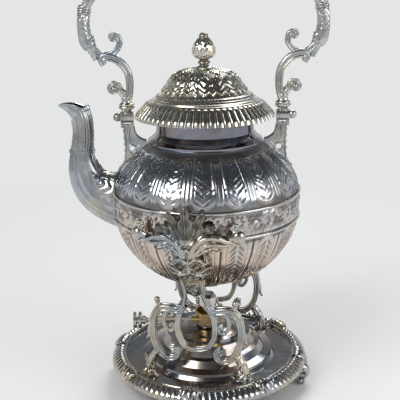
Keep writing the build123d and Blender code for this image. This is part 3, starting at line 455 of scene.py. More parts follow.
def leaf_height(u, t, lobes=5, veins=1.0):
    """An acanthus leaf for u across (-1 to 1) and t along (0 root, 1 tip): rib, lobes and veins."""
    width = np.clip(1.12 * np.sin(pi * np.clip(t, 0.0, 1) ** 0.8 * 0.93 + 0.16), 0.02, None)
    notch = np.abs(np.sin(pi * lobes * t))
    edge = width * (0.72 + 0.28 * notch ** 0.6)
    inside = 1 - np.abs(u) / edge
    body = np.clip(inside * 3.0, 0, 1) ** 0.7
    rib = ridge(u, 0.09)
    vein = 0.5 + 0.5 * np.cos(tau * lobes * (t - 0.3 * np.abs(u)))
    return body * (0.6 + 0.4 * vein * veins) + rib * 0.35 * (inside > 0)


def spiral_height(dx, dz, reach, hand, arms=1.0):
    """A scroll that winds in to its centre: ridges of a spiral out to the reach."""
    distance = np.hypot(dx, dz)
    angle = np.arctan2(dz, dx * hand)
    phase = np.log(np.maximum(distance, 0.3) / reach) / 0.32 - angle * arms
    return (0.5 + 0.5 * np.cos(phase)) * (1 - ramp(distance, reach * 0.85, reach * 1.1))


PANELS = 18
PANEL_TURN = -92.0            # a panel's middle, as seen from the front
BAND_REPEATS = 20


def upper_belly(angle, z, r):
    """U-ended panels with stacked chevrons, and pairs of reeds between them."""
    across, number = folded(angle - PANEL_TURN, 360 / PANELS)
    x = np.radians(across) * r
    half = np.radians(6.5) * r
    low = 191.0 + 10.0
    distance = np.where(z > low, np.abs(x) - half, np.hypot(x, z - low) - 10.2)
    top = 1 - ramp(z, 226, 229)
    frame_line = ridge(distance, 0.75) * 1.0 + ridge(distance - 2.1, 0.6) * 0.55
    inner = ramp(-distance, 1.0, 1.9)
    size = np.clip(half / 10, 0.35, 1)
    pitch = 10.0 * size
    step, row = folded(z - np.abs(x) * 0.75 - 196.0, pitch)
    chevron = ridge(np.abs(step) - 0.30 * pitch, 0.10 * pitch) * 0.75
    cross = np.minimum(np.abs(folded(z - x * 0.9, 2.6)[0]), np.abs(folded(z + x * 0.9, 2.6)[0]))
    hatch = (0.35 - ridge(cross, 0.35) * 0.5) * (np.abs(step) > 0.34 * pitch)
    plain = 0.5 * (np.abs(step) < 0.24 * pitch)
    gap, _ = folded(angle - PANEL_TURN + 180 / PANELS, 360 / PANELS)
    gx = np.abs(np.radians(gap) * r)
    reach = np.clip((np.radians(10) * r - half) * 0.32, 0.8, 1.7)
    reeds = ridge(gx - reach, 0.62 * reach) * 0.95
    foot = np.hypot(gx - reach, np.minimum(z - 192.5, 0) * 1.4)
    reeds = np.where(z < 192.5, ridge(foot, 0.8) * 0.9, reeds)
    dots = ridge(np.hypot(x, z - 225.0), 1.2) * 0.8
    body = frame_line + inner * (chevron + hatch + plain - 0.1)
    return (body + (distance > 2.6) * reeds) * top + dots * (1 - inner)


def band(angle, z, r):
    """Scroll foliage between the two wires, over a row of small upright beads."""
    across, number = folded(angle, 360 / BAND_REPEATS)
    x = np.radians(across) * r
    hand = np.where(number % 2 == 0, 1.0, -1.0)
    middle = 174.5
    swirl = spiral_height(x, (z - middle) * hand, 9.0, 1.0)
    buds = spiral_height(x - 11 * 1.0, (z - middle) * hand + 4.0, 5.0, -1.0)
    buds = np.maximum(buds, spiral_height(x + 11, (z - middle) * hand - 4.0, 5.0, -1.0))
    flower = ridge(np.hypot(x, z - middle), 2.0) * (0.8 + 0.3 * np.cos(5 * np.arctan2(z - middle, x)))
    petals = 0.3 * np.cos(9 * np.arctan2(z - middle, x)) * ridge(np.hypot(x, z - middle) - 6.5, 2.4)
    leafy = np.maximum(np.maximum(swirl, buds), flower) ** 1.3 + petals
    fine = np.sin(x * 3.1 + z * 1.3) * np.sin(x * 1.7 - z * 2.9)
    ground = np.clip(leafy, 0, 1.2) * 1.15 + (leafy < 0.3) * fine * 0.14
    ground = ground * ramp(z, 166.4, 167.6) * (1 - ramp(z, 181.6, 182.6))
    bead, _ = folded(angle, 360 / 132)
    beads = np.clip(1 - (np.radians(bead) * r / 1.9) ** 2, 0, 1) ** 0.5 * ramp(z, 162.0, 162.8)
    beads = beads * (1 - ramp(z, 165.2, 166.0)) * 0.9
    return ground + beads + ridge(z - 166.4, 0.5) * 0.5 + ridge(z - 182.6, 0.5) * 0.5


def lower_belly(angle, z, r):
    """Broad chased petals that taper to the bottom, and pairs of plain flat bars between them."""
    across, number = folded(angle - PANEL_TURN, 360 / PANELS)
    part = across / (180 / PANELS)                    # -1 to 1 over one repeat
    top = 156.5
    petal = 0.56
    round_top = top - 7.5
    u = part / petal
    distance = np.where(z > round_top, np.hypot(part * 14 / petal * 0.57, (z - round_top)) - 7.9,
                        (np.abs(u) - 1) * petal * 14)
    edge = ridge(distance, 0.75) * 0.9 + ridge(distance + 1.7, 0.6) * 0.4
    inner = ramp(-distance, 0.8, 1.8)
    t = np.clip((top - z) / 58, 0, 1)
    vein, _ = folded(z * 1.0 + np.abs(u) * 9.0, 5.4)
    chased = ridge(vein, 1.1) * 0.55 * (1 - ramp(t, 0.75, 1.0)) + ridge(u, 0.1) * 0.7
    bar_place = np.abs(np.abs(part) - 0.79)
    bars = np.clip(1 - (bar_place / 0.16) ** 4, 0, 1) * 0.85 * (z < top - 1) + ridge(
        z - top + 1.5, 0.8) * 0.0
    split = ridge(np.abs(part) - 1.0, 0.035) * 0.5
    fade = ramp(z, 97, 103)
    return (edge + inner * chased + (distance > 1.2) * (bars - split)) * fade


def chased_belly():
    """The body: its wall raised and chased on the outside, plain inside."""
    outline = [
        (BOTTOM_R, BOTTOM_Z), (BOTTOM_R + 14, BOTTOM_Z + 4), (LOW_R - 26, LOW_Z - 28),
        (LOW_R - 11.5, LOW_Z - 15.5), (LOW_R, LOW_Z), (BELLY_R - 4.5, BELLY_Z - 29),
        (BELLY_R - 1, LOWER_WIRE_Z), (BELLY_R, BELLY_Z), (BELLY_R - 1, UPPER_WIRE_Z + 3),
        (BELLY_R - 4.5, NECK_Z - 32.5), (BELLY_R - 12, NECK_Z - 21), (NECK_R + 13, NECK_Z - 9.5),
        (NECK_R, NECK_Z)]
    outer = even(smooth(outline), 1.25)
    inner = [(r - 2.2, z) for r, z in even(smooth(outline), 8)][::-1]
    inner[0] = (NECK_R - 3, NECK_Z - 0.5)
    floor = [(BOTTOM_R - 2.2, BOTTOM_Z + WALL), (0, BOTTOM_Z + WALL), (0, BOTTOM_Z)]
    bm = lathe([(p[0], p[1]) for p in outer] + inner[:-1] + floor + [(outer[0][0], outer[0][1])], 450)
    points = np.array([v.co for v in bm.verts])
    r, z = np.hypot(points[:, 0], points[:, 1]), points[:, 2]
    angle = np.degrees(np.arctan2(points[:, 1], points[:, 0]))
    rows = np.array([p[1] for p in outer])
    skin = np.abs(r - np.interp(z, rows, [p[0] for p in outer])) < 0.4
    skin &= (z > BOTTOM_Z + 2) & (z < NECK_Z - 0.6)
    height = np.where(z > UPPER_WIRE_Z, upper_belly(angle, z, r),
                      np.where(z > LOWER_WIRE_Z, band(angle, z, r), lower_belly(angle, z, r)))
    height = np.where(skin, height, 0)
    slope = np.gradient([p[0] for p in outer], rows)
    lean = np.interp(z, rows, slope)
    size = np.hypot(1, lean)
    step = (height - 0.35 * skin) * 0.9
    out = points.copy()
    out[:, 0] += points[:, 0] / np.maximum(r, 1) * step / size
    out[:, 1] += points[:, 1] / np.maximum(r, 1) * step / size
    out[:, 2] -= lean / size * step
    for vert, co in zip(bm.verts, out):
        vert.co = co
    placed(bm, "chased_belly", "kettle", "belly", ["kettle_body"], np.clip(height * 0.85 + 0.1, 0, 1.1),
           angle=60)


# ------------------------------------------------------------------ lid and finial
def displaced(bm, change):
    """Moves a turned mesh by a function of (angle, r, z) that gives (out, up, relief)."""
    points = np.array([v.co for v in bm.verts])
    r, z = np.hypot(points[:, 0], points[:, 1]), points[:, 2]
    angle = np.degrees(np.arctan2(points[:, 1], points[:, 0]))
    out, up, relief = change(angle, r, z)
    safe = np.maximum(r, 0.5)
    points[:, 0] += points[:, 0] / safe * out
    points[:, 1] += points[:, 1] / safe * out
    points[:, 2] += up
    for vert, co in zip(bm.verts, points):
        vert.co = co
    return relief


def lid_border():
    """The lid's drooping border of convex gadroons, with a lobed edge."""
    top = even(smooth([(LID_RING_R + 0.1, LID_RING_Z), (LID_RING_R + 5, LID_RING_Z - 2.6),
                       (LID_RIM_R - 6, LID_RING_Z - 7.2), (LID_RIM_R - 1.5, LID_RIM_Z + 4),
                       (LID_RIM_R, LID_RIM_Z)]), 0.9)
    under = [(LID_RIM_R - 3.2, LID_RIM_Z), (LID_RIM_R - 8, LID_RIM_Z + 5), (LID_RING_R + 3, LID_RING_Z - 5),
             (LID_RING_R + 0.1, LID_RING_Z - 3.2)]
    bm = lathe([(p[0], p[1]) for p in top] + under, 720, closed=True)
    upper = {round(p[0], 2): p[1] for p in top}

    def gadroons(angle, r, z):
        across, number = folded(angle, 360 / 60)
        lobe = np.clip(1 - np.abs(across / 3.0) ** 2.2, 0, 1) ** 0.5
        line = np.interp(r, sorted(upper), [upper[k] for k in sorted(upper)])
        skin = np.abs(z - line) < 0.4
        grow = ramp(r, LID_RING_R + 1.5, LID_RING_R + 6)
        edge = ramp(r, LID_RIM_R - 7, LID_RIM_R)
        out = (lobe - 0.75) * edge * 1.5 - 0.1
        up = np.where(skin, (lobe - 0.6) * grow * 1.9, 0) * (1 - edge * 0.6)
        bead = ridge(r - LID_RING_R - 1.2, 0.9) * np.where(skin, 1.0, 0)
        return out, up + bead * 0.7, np.where(skin, lobe * grow + bead, 0.5)
    placed(bm, "lid_gadroon_border", "lid", "lid", ["lid_rim"], displaced(bm, gadroons), angle=70)


def lid_crown():
    """The dome: reeded mouldings that step up to leaves, and a flower of petals under the finial."""
    outline = [(LID_RING_R, LID_RING_Z), (LID_RING_R - 0.6, LID_RING_Z + 1.5), (LID_RING_R - 2.5, 275.0),
               (49.2, 275.2), (48.4, 276.4), (47.0, 276.9), (46.2, 277.6), (45.3, 278.7), (43.9, 279.0),
               (42.8, 279.8), (LID_STEP_R, LID_STEP_Z), (39.2, 284.4), (LID_STEP_R - 5, 288.5),
               (34.2, 291.6), (LID_STEP_R - 8, 293.5), (30.9, 295.6), (LID_CROWN_R, LID_CROWN_Z),
               (25, 299.3), (LID_CROWN_R - 8, 300.5), (15, 301.5), (8, LID_TOP_Z), (2.1, LID_TOP_Z)]
    top = even([Vector(p) for p in outline], 0.8)
    under = [(2.1, LID_TOP_Z - WALL), (21, 298.8), (33, 291.5), (38, 280.5), (LID_RING_R - 2, 271.4)]
    bm = lathe([(p[0], p[1]) for p in top] + under, 360, closed=True)
    line_r, line_z = [p[0] for p in top][::-1], [p[1] for p in top][::-1]

    def leaves(angle, r, z):
        skin = np.abs(z - np.interp(r, line_r, line_z)) < 0.5
        across, number = folded(angle, 360 / 16)
        u = across / (180 / 16)
        t = np.clip((LID_STEP_R - 0.5 - r) / 13.0, 0, 1)
        side = leaf_height(u, t, 4)
        side = side * (r < LID_STEP_R) * (r > LID_CROWN_R - 1)
        between, _ = folded(angle + 360 / 32, 360 / 16)
        small = leaf_height(between / 5.5, np.clip(t * 1.5, 0, 1), 3) * (r < LID_STEP_R) * (r > 32)
        top_u, _ = folded(angle, 360 / 12)
        tt = np.clip((r - 9) / 18.0, 0, 1)
        crown = leaf_height(top_u / 15, tt, 5) * (r < 28) * (r > 9)
        swirl = ridge(folded(angle + r * 9, 12)[0], 2.4) * (r > 28) * (r < 31) * 0.6
        height = np.maximum(side, small * 0.8) + crown + swirl
        milled = (0.5 + 0.5 * np.cos(np.radians(angle * 96))) * ridge(r - 45.8, 1.1) * 0.5
        height = height + milled
        rise = np.where(skin, height * 1.1 - 0.2, 0)
        tilt = ramp(r, 30, 36)
        plain = (r > LID_STEP_R) & (milled < 0.1)
        return rise * tilt * 0.8, rise * (1 - tilt * 0.5), np.where(plain, 0.72, height * 0.7 + 0.1)
    placed(bm, "lid_leaf_dome", "lid", "lid", ["lid_dome"], displaced(bm, leaves), angle=50)


def finial():
    """The tulip bud: a knopped stem, four leaves that fold back and a bud with overlapping petals."""
    outline = [(0, 302.0), (8, 302.0), (8, 303.4), (6.4, 304.4), (4.8, 305.2), (4.3, 306.4), (5.6, 307.4),
               (6.2, 308.3), (5.4, 309.2), (4.2, 310.2), (5.2, 311.2), (8.2, 313.2), (10.0, 316.4),
               (10.3, 319.6), (9.4, 323.6), (7.3, 327.4), (5.0, 330.2), (4.3, 331.6), (4.6, 332.6),
               (3.6, 334.6), (1.6, 335.8), (0, 336.0)]
    bm = lathe([(p[0], p[1]) for p in even(smooth(outline, 5), 0.42)], 144)

    def petals(angle, r, z):
        t = np.clip((z - 311.5) / 20.0, 0, 1)
        height = np.zeros_like(r)
        for turned_by, low, high, lobes in ((0, 0.30, 1.0, 4), (45, 0.12, 0.8, 4), (0, 0.0, 0.5, 4)):
            across, _ = folded(angle + turned_by, 90)
            part = np.clip((t - low) / (high - low), 0, 1)
            petal = leaf_height(across / 44, 0.25 + 0.75 * part, lobes, 0.6) * (t > low) * (t < high)
            height = np.maximum(height, petal * (1.1 - 0.2 * part) * (0.5 + 0.5 * ramp(part, 0, 0.1)))
        height *= (z > 311) & (z < 332)
        foot = (0.5 + 0.5 * np.cos(np.radians(angle * 12))) * ridge(z - 303.2, 1.2) * 0.8
        return height * 1.2 - 0.3 * (z > 311) * (z < 332) + foot * 0.5, 0 * r, height * 0.8 + 0.2 + foot
    placed(bm, "finial_bud", "lid", "lid", ["finial"], displaced(bm, petals), angle=50)


chased_belly()
lid_border()
lid_crown()
finial()


# ------------------------------------------------------------------ spout
def spout():
    """The swan neck: reeded and faceted, leaves at the root and feathers up to the mouth."""
    stations = [(-80.0, 171.0, 12, 26.5, 20.0), (-92.0, 175.5, 18, 25.5, 18.5),
                (-105.5, 182.0, 32, 22.3, 15.5), (-115.5, 192.5, 53, 18.8, 13.5),
                (-120.8, 208.5, 74, 14.8, 12.0), (-120.8, 224.5, 90, 11.4, 10.5),
                (-118.6, 241.5, 94, 10.0, 9.6), (-119.6, 256.5, 84, 10.3, 9.2),
                (-124.5, 266.0, 74, 12.3, 8.6)]
    line = smooth(stations, 9)
    bm = bmesh.new()
    segments, loops = 96, []
    for i, (x, z, tilt, high, wide) in enumerate(line):
        along = Vector((-cos(radians(tilt)), 0, sin(radians(tilt))))
        outward = Vector((-along.z, 0, along.x))          # towards the outside of the swan neck
        t = i / (len(line) - 1)
        ring = bmesh.ops.create_circle(bm, segments=segments, radius=1.0)["verts"]
        for k, vert in enumerate(ring):
            angle = tau * k / segments
            height = float(spout_relief(np.degrees(angle), t, z))
            reach = 1 + (height - 0.35) / 12
            vert.co = Vector((x, 0, z)) + outward * high * reach * cos(angle) + Vector(
                (0, 1, 0)) * wide * reach * sin(angle)
        loops.append([bm.edges.get((ring[k - 1], ring[k])) for k in range(segments)])
    for first, second in zip(loops, loops[1:]):
        bmesh.ops.bridge_loops(bm, edges=first + second)
    bmesh.ops.recalc_face_normals(bm, faces=bm.faces)
    bmesh.ops.bisect_plane(bm, geom=bm.verts[:] + bm.edges[:] + bm.faces[:], plane_no=(-0.731, 0, 0.682),
                           plane_co=(-118.0, 0, 267.2), clear_outer=True)
    beak = spout_beak()
    for shell in (bm, beak):
        bmesh.ops.solidify(shell, geom=shell.faces[:], thickness=1.6)
        bmesh.ops.recalc_face_normals(shell, faces=shell.faces)
    placed(joined(bm, beak), "spout_swan_neck", "kettle", "cast", ["spout", "spout_lip"], angle=50)


def spout_beak():
    """The bill at the mouth: a channel that narrows and droops to its tip."""
    stations = [(-128.6, 254.5, -116.8, 267.4, 8.9, 112), (-129.6, 257.5, -120.4, 269.0, 8.6, 108),
                (-131.8, 260.8, -125.4, 270.8, 7.2, 102), (-135.2, 264.3, -131.4, 271.7, 5.2, 98),
                (-138.8, 267.0, -136.8, 271.4, 3.2, 94), (-141.3, 268.6, -140.6, 270.2, 1.5, 92)]
    floor, rim = (smooth([(p[k], 0, p[k + 1]) for p in stations], 5) for k in (0, 2))
    breadth = smooth([(p[4], p[5], 0) for p in stations], 5)
    bm = bmesh.new()
    bmesh.ops.create_grid(bm, x_segments=len(floor) - 1, y_segments=36, size=1.0)
    for vert in bm.verts:
        place = round((vert.co.x + 1) / 2 * (len(floor) - 1))
        wide, open_to = breadth[place].x, breadth[place].y
        angle = vert.co.y * open_to
        rise = (1 - cos(radians(angle))) / (1 - cos(radians(open_to)))
        vert.co = floor[place].lerp(rim[place], rise) + Vector((0, wide * sin(radians(angle)), 0))
    bmesh.ops.recalc_face_normals(bm, faces=bm.faces)
    outer = sum((f.normal.dot(Vector((-0.6, 0, -0.8))) for f in bm.faces), 0.0)
    if outer < 0:
        bmesh.ops.reverse_faces(bm, faces=bm.faces)
    return bm


def spout_relief(angle, t, z):
    """angle 0 is the outside of the bend, 180 the inside, and t runs from the root to the mouth."""
    side = np.abs(folded(angle, 360)[0])
    facet, _ = folded(side, 45)
    body = (1 - np.abs(facet / 22.5) ** 3) * 0.5
    low = (t < 0.60)
    threads = (ridge(side - 58, 5.5) + ridge(side - 80, 4.5) * 0.8) * 1.25 * low * ramp(t, 0.02, 0.06)
    beads = ridge(folded(t, 0.022)[0], 0.007) * ridge(side - 40, 4) * 0.9 * (t > 0.40) * low
    leaf = leaf_height((side - 122) / 30, np.clip((t - 0.04) / 0.40, 0, 1), 5) * 1.5 * (t < 0.44)
    crown = leaf_height((side - 180) / 34, np.clip((t - 0.02) / 0.52, 0, 1), 6) * 1.2 * (t < 0.54)
    reeds = (0.5 + 0.5 * np.cos(np.radians(side * 24))) ** 0.6 * 0.9 * (side > 52) * (t > 0.62)
    feather, _ = folded(z - side * 0.10, 4.4)
    front = (0.3 + ridge(feather, 1.4) * 0.9) * (side < 50) * ramp(t, 0.66, 0.70) * (t < 0.95)
    buds = ridge(np.hypot((folded(side, 22)[0]) / 6, (t - 0.635) / 0.014), 1.0) * 1.1
    lip = ridge(t - 0.975, 0.014) * 0.9
    return np.maximum.reduce([body, threads, beads, leaf, crown, reeds, front, buds]) + lip


# ------------------------------------------------------------------ bail handle
def rolled(path, radius, relief=None, segments=40, step=1.0, squash=1.0, side=(0, 1, 0)):
    """A cast bar with ornament: relief(angle, t) gives its height; angle 0 is the path's right side."""
    line = even(smooth(path), step)
    bm = tube(line, radius, segments, squash, side=side)
    if relief:
        count = len(line)
        for i, vert in enumerate(bm.verts):
            row, k = divmod(i, segments)
            middle = line[min(row, count - 1)]
            out = vert.co - middle
            if out.length > 1e-6:
                vert.co = middle + out * (1 + relief(360 * k / segments, row / (count - 1)) / out.length)
    return bm


def spiral(middle, outer, inner, start, turns, plane="xz"):
    """Points of a scroll that winds in from the outer radius."""
    points = []
    for k in range(round(abs(turns) * 10) + 1):
        t = k / round(abs(turns) * 10)
        angle = radians(start + 360 * turns * t)
        reach = outer + (inner - outer) * t
        points.append(Vector((middle[0] + reach * cos(angle), 0, middle[1] + reach * sin(angle))))
    return points


def upright(points, y=0.0):
    return [Vector((x, y, z)) for x, z in points]


def ball_stud(x, y, z, radius, flat=1.0):
    bm = bmesh.new()
    bmesh.ops.create_uvsphere(bm, u_segments=20, v_segments=12, radius=radius)
    bmesh.ops.scale(bm, vec=(1, flat, 1), verts=bm.verts)
    bmesh.ops.rotate(bm, cent=(0, 0, 0), matrix=Matrix.Rotation(pi / 2, 3, "Y"), verts=bm.verts)
    bmesh.ops.translate(bm, vec=(x, y, z), verts=bm.verts)
    return bm


def channelled(path, radius, edge=0.42, step=1.2, squash=1.25):
    """A C-scroll's bar: a flattened bar with a bead along both edges of both faces."""
    line = even(smooth(path), step)
    count = len(line) - 1
    size = radius if callable(radius) else lambda t: radius
    core = tube(line, lambda t: size(t) * 0.82, 16, squash)
    beads = []
    for out in (-1, 1):
        for face in (-1, 1):
            shifted = []
            for i, point in enumerate(line):
                along = (line[min(i + 1, count)] - line[max(i - 1, 0)]).normalized()
                up = along.cross(Vector((0, 1, 0)))
                reach = size(i / count)
                shifted.append(point + up * out * reach * 0.62 + Vector((0, face * reach * squash * 0.62, 0)))
            beads.append(tube(shifted, lambda t: size(t) * edge, 8))
    return joined(core, *beads)


def acanthus(turned_by=0.0, lobes=5, spread=70, rise=1.5, low=0.0, high=1.0):
    """Relief for a leaf wrapped around a bar."""
    def relief(angle, t):
        u = ((angle - turned_by + 180) % 360 - 180) / spread
        part = (t - low) / (high - low)
        if abs(u) > 1.2 or not 0 <= part <= 1:
            return 0.0
        return float(leaf_height(np.float64(u), np.float64(part), lobes)) * rise
    return relief


def most(*reliefs):
    return lambda angle, t: max(relief(angle, t) for relief in reliefs)


def handle_arm():
    """The heel side's arm in cast silver; the other side is its mirror image."""
    x = PIVOT_X
    knuckle = lathe([(p[0], p[1]) for p in even(smooth([
        (0, 259), (3.4, 259.2), (3.6, 261.5), (4.4, 263.0), (5.8, 264.6), (7.2, 265.8), (7.5, 267.2),
        (6.8, 268.0), (7.2, 269.2), (6.8, 270.2), (5.3, 271.2), (4.6, 273.5), (4.2, 277.0), (0, 277.4)],
        6), 0.5)], 48)
    displaced(knuckle, lambda angle, r, z: (0.35 * np.cos(np.radians(angle * 12)) * ridge(z - 266.6, 1.4),
                                            0 * r, 0 * r))
    moved(knuckle, Matrix.Translation((x, 0, 0)))
    eye = tube(upright([(x - 3.4, PIVOT_Z), (x + 3.4, PIVOT_Z)]), 5.4, 32)
    eye_rim = [tube(upright([(x + d - 0.5, PIVOT_Z), (x + d + 0.5, PIVOT_Z)]), 5.5, 32) for d in (-2.7, 2.7)]
    lower = channelled(upright([(x - 1.0, 272), (x - 3.2, 279), (71.3, 289.5), (73.0, 300.5), (79.0, 309),
                                (86, 313.4), (94.5, 314.6), (97.4, 311.5), (95.2, 307.0)]),
                       lambda t: 3.2 - 0.8 * max(0, t - 0.8) * 5 + 0.8 * max(0, 0.6 - abs(t - 0.7)))
    boss = spiral((x + 11.5, 284.6), 6.2, 1.6, -160, -1.35)
    stalk = [Vector((x + 1.0, 0, 273.5)), Vector((x + 3.0, 0, 278.0))]
    volute = channelled(stalk + boss, lambda t: 2.6 - 1.0 * t, squash=1.5)
    web = rolled([(x - 3.5, 0, 276), (x + 0.5, 0, 279.5), (x + 4.5, 0, 283)], lambda t: 2.6 - 0.8 * t,
                 acanthus(0, 3, 90, 0.8))
    button = ball_stud(x + 11.5, 0, 284.6, 3.0, 1.35)
    upper_path = [(109.0, 0, 324.5), (111.2, 0, 331), (ARM_REACH - ARM_R - 0.3, 0, 338),
                  (ARM_REACH - ARM_R, 0, ARM_WIDEST_Z), (ARM_REACH - ARM_R - 2.6, 0, 358),
                  (ARM_REACH - ARM_R - 9, 0, ARM_TOP_Z - 14), (ARM_REACH - ARM_R - 14, 0, ARM_TOP_Z - 8.3),
                  (ARM_REACH - ARM_R - 21, 0, ARM_TOP_Z - 5.2), (GRIP_HALF + 14, 0, ARM_TOP_Z - 4.7),
                  (GRIP_HALF + FERRULE_L, 0, GRIP_END_Z + 1)]
    upper = rolled(upper_path, lambda t: 5.0 + 0.7 * cos(t * 7.0 - 1.2) - 1.0 * max(0, 0.12 - t) * 8,
                   most(acanthus(0, 7, 88, 1.2, 0.0, 0.44), acanthus(180, 7, 80, 1.1, 0.02, 0.44),
                        acanthus(90, 6, 60, 1.0, 0.05, 0.40), acanthus(270, 6, 60, 1.0, 0.05, 0.40),
                        acanthus(45, 5, 55, 1.0, 0.52, 0.98), acanthus(135, 5, 55, 1.0, 0.52, 0.98),
                        acanthus(225, 5, 55, 1.0, 0.52, 0.98), acanthus(315, 5, 55, 1.0, 0.52, 0.98)),
                   48, 0.9)
    cuffs = []
    for lift, reach in ((0, 7.0), (2.6, 6.4), (-2.2, 6.2)):
        ring = lathe([(p[0], p[1]) for p in smooth([(4.6, -1.1), (reach - 0.4, -0.9), (reach, 0),
                                                   (reach - 0.4, 0.9), (4.6, 1.1)], 4)], 40)
        cuffs.append(moved(ring, Matrix.Translation((ARM_REACH - ARM_R - 2.2, 0, 358)) @ Matrix.Rotation(
            radians(-18), 4, "Y") @ Matrix.Translation((0, 0, lift))))
    curl = channelled(upright([(112.2, 336), (108.3, 327.0), (98.5, 317.6), (90.6, 316.4), (84.2, 319.4),
                               (79.6, 326.0), (80.4, 333.2), (85.0, 335.8)]),
                      lambda t: 3.2 - 0.7 * t + 0.8 * max(0, 0.3 - t))
    bulb = spiral((84.6, 332.8), 3.6, 0.8, 80, -1.1)
    roll = channelled(bulb, lambda t: 2.2 - 0.8 * t)
    joint_leaf = rolled([(109.5, 0, 333), (107.0, 0, 325.5), (103.6, 0, 317.5), (102.0, 0, 311.8)],
                        lambda t: 5.0 - 3.6 * t ** 1.4, most(acanthus(0, 5, 100, 1.3),
                        acanthus(180, 5, 100, 1.1)), 40, 0.7)
    thorn = rolled([(113.5, 0, 330), (112.0, 0, 325.0), (110.4, 0, 321.2)], lambda t: 3.6 - 2.6 * t,
                   acanthus(0, 3, 110, 0.9), 28, 0.7)
    return joined(knuckle, eye, *eye_rim, lower, volute, web, button, upper, *cuffs, curl, roll, joint_leaf,
                  thorn)


def handle():
    arm, widest = handle_arm(), ARM_REACH - 2.0
    for vert in arm.verts:
        vert.co.x = min(vert.co.x, widest + (vert.co.x - widest) * 0.4)
    other = copied(arm, MIRROR_X)
    placed(arm, "handle_arm_leaves_heel", "handle", "cast", ["handle_arm_heel"], angle=50)
    placed(other, "handle_arm_leaves_spout", "handle", "cast", ["handle_arm_spout"], angle=50)


def lug_scrollwork():
    """Raised edges, a ring round the hole and a scalloped rim on both faces of the handle's lugs."""
    face = 3.0
    edge = [(69.7, 248), (69.0, 243.5), (66.8, 238.6), (62.0, 235.0), (57.6, 233.6)]
    outer = [(78.4, 248), (78.0, 238), (77.6, 229), (78.0, 221), (78.6, 215.5), (78.9, 210.5)]
    inner = [(62.5, 230.8), (67.2, 227.0), (71.2, 221.2), (74.6, 214.8), (77.0, 209.5)]
    hole = [(71.5 + 3.9 * cos(tau * k / 24), 226 + 3.9 * sin(tau * k / 24)) for k in range(25)]
    parts = []
    for y in (-face, face):
        for line, size in ((edge, 0.85), (outer, 0.85), (inner, 0.7), (hole, 0.8)):
            parts.append(tube(even(smooth(upright(line, y)), 0.7), size, 10))
        parts.append(tube(even(smooth(upright([(73.6, 246.5), (74.3, 240), (73.4, 234.5), (71.6, 231.4)], y)),
                               0.7), lambda t: 1.3 - 0.8 * t, 10))
    for k in range(6):
        parts.append(ball_stud(78.3 - 0.5 * sin(k * 0.6), 0, 211.5 + 6.3 * k, 1.9, 1.5))
    parts.append(ball_stud(PIVOT_X, 0, 248.6, 2.0, 1.7))
    bm = joined(*parts)
    other = copied(bm, MIRROR_X)
    placed(bm, "lug_scrollwork_heel", "kettle", "cast", angle=50)
    placed(other, "lug_scrollwork_spout", "kettle", "cast", angle=50)


lug_scrollwork()
spout()
handle()


# ------------------------------------------------------------------ stand
def gadroon_rim():
    """The base's heavy border: fine convex gadroons that lean over the edge, and a bright wire inside."""
    bulge = RIM_H + 1.5
    top = even(smooth([(RIM_INNER_R + 3, RIM_H - 0.6), (RIM_INNER_R + 6, bulge - 1.5),
                       (BASE_R - 6, bulge - 3.0), (BASE_R - 2, RIM_H - 4.5), (BASE_R - 0.2, 4.5),
                       (BASE_R - 0.8, 1)]), 0.9)
    wire = [(RIM_INNER_R + 0.1, RIM_H - 4), (RIM_INNER_R + 0.1, RIM_H - 1.5), (RIM_INNER_R + 0.5, RIM_H - 0.5),
            (RIM_INNER_R + 1.2, RIM_H), (RIM_INNER_R + 2.0, RIM_H - 0.4), (RIM_INNER_R + 2.5, RIM_H - 1.2)]
    under = [(BASE_R - 2.5, 0), (BASE_R - 5, 0), (BASE_R - 5, 4), (RIM_INNER_R + 5, RIM_H - 5)]
    bm = lathe(wire + [(p[0], p[1]) for p in top] + under, 1000, closed=True)
    line_r, line_z = [p[0] for p in top], [p[1] for p in top]

    def gadroons(angle, r, z):
        lean = (r - RIM_INNER_R) * 0.10
        across, _ = folded(angle - lean, 360 / 100)
        lobe = np.clip(1 - np.abs(across / 1.8) ** 2.4, 0, 1) ** 0.5
        skin = (r > RIM_INNER_R + 2.8) & (z > 1.5) & (z > np.interp(r, line_r, line_z) - 1.0)
        grow = ramp(r, RIM_INNER_R + 3, RIM_INNER_R + 5) * skin
        side = ramp(r, BASE_R - 6, BASE_R - 1)
        fine = ridge(np.abs(across) - 1.75, 0.25) * 0.25
        height = (lobe - 0.8 + fine) * grow
        shade_level = np.where(skin, lobe * 0.9, 0.75)
        return height * side * 1.3, height * (1 - side) * 2.2, shade_level
    placed(bm, "base_gadroon_rim", "stand", "stand", ["base_rim"], displaced(bm, gadroons), angle=70)


def rim_leaves():
    """Foliage that breaks the border over each foot and half way between."""
    cluster = []
    for spread, length, turned_by, wide in ((0, 15, 0, 5.0), (-6.0, 13, 24, 3.6), (6.0, 13, -24, 3.6),
                                            (-10.5, 11, 48, 3.0), (10.5, 11, -48, 3.0)):
        angle = radians(turned_by * 0.9)
        path = []
        for r, z in ((RIM_INNER_R + 2.0, RIM_H + 0.1), (RIM_INNER_R + 6, RIM_H + 1.0),
                     (BASE_R - 4.5, RIM_H - 0.9), (BASE_R - 1.2, RIM_H - 4.6), (BASE_R + 0.6, 4.4)):
            if r - RIM_INNER_R > length + 0.5:
                break
            path.append(Vector((r, spread * (0.45 + (r - RIM_INNER_R) / 22), z)))
        cluster.append(rolled(path, lambda t, w=wide: w * (0.35 + 0.65 * sin(pi * (t * 0.8 + 0.12))) * 0.42,
                              acanthus(0, 4, 90, 0.7), 24, 0.8, squash=2.2,
                              side=(0, 1, 0)))
    cluster.append(ball_stud(RIM_INNER_R + 3, 0, RIM_H + 0.6, 1.8))
    bm = around(joined(*cluster), 8, STAND_TURN)
    placed(bm, "rim_leaf_clusters", "stand", "stand", angle=50)


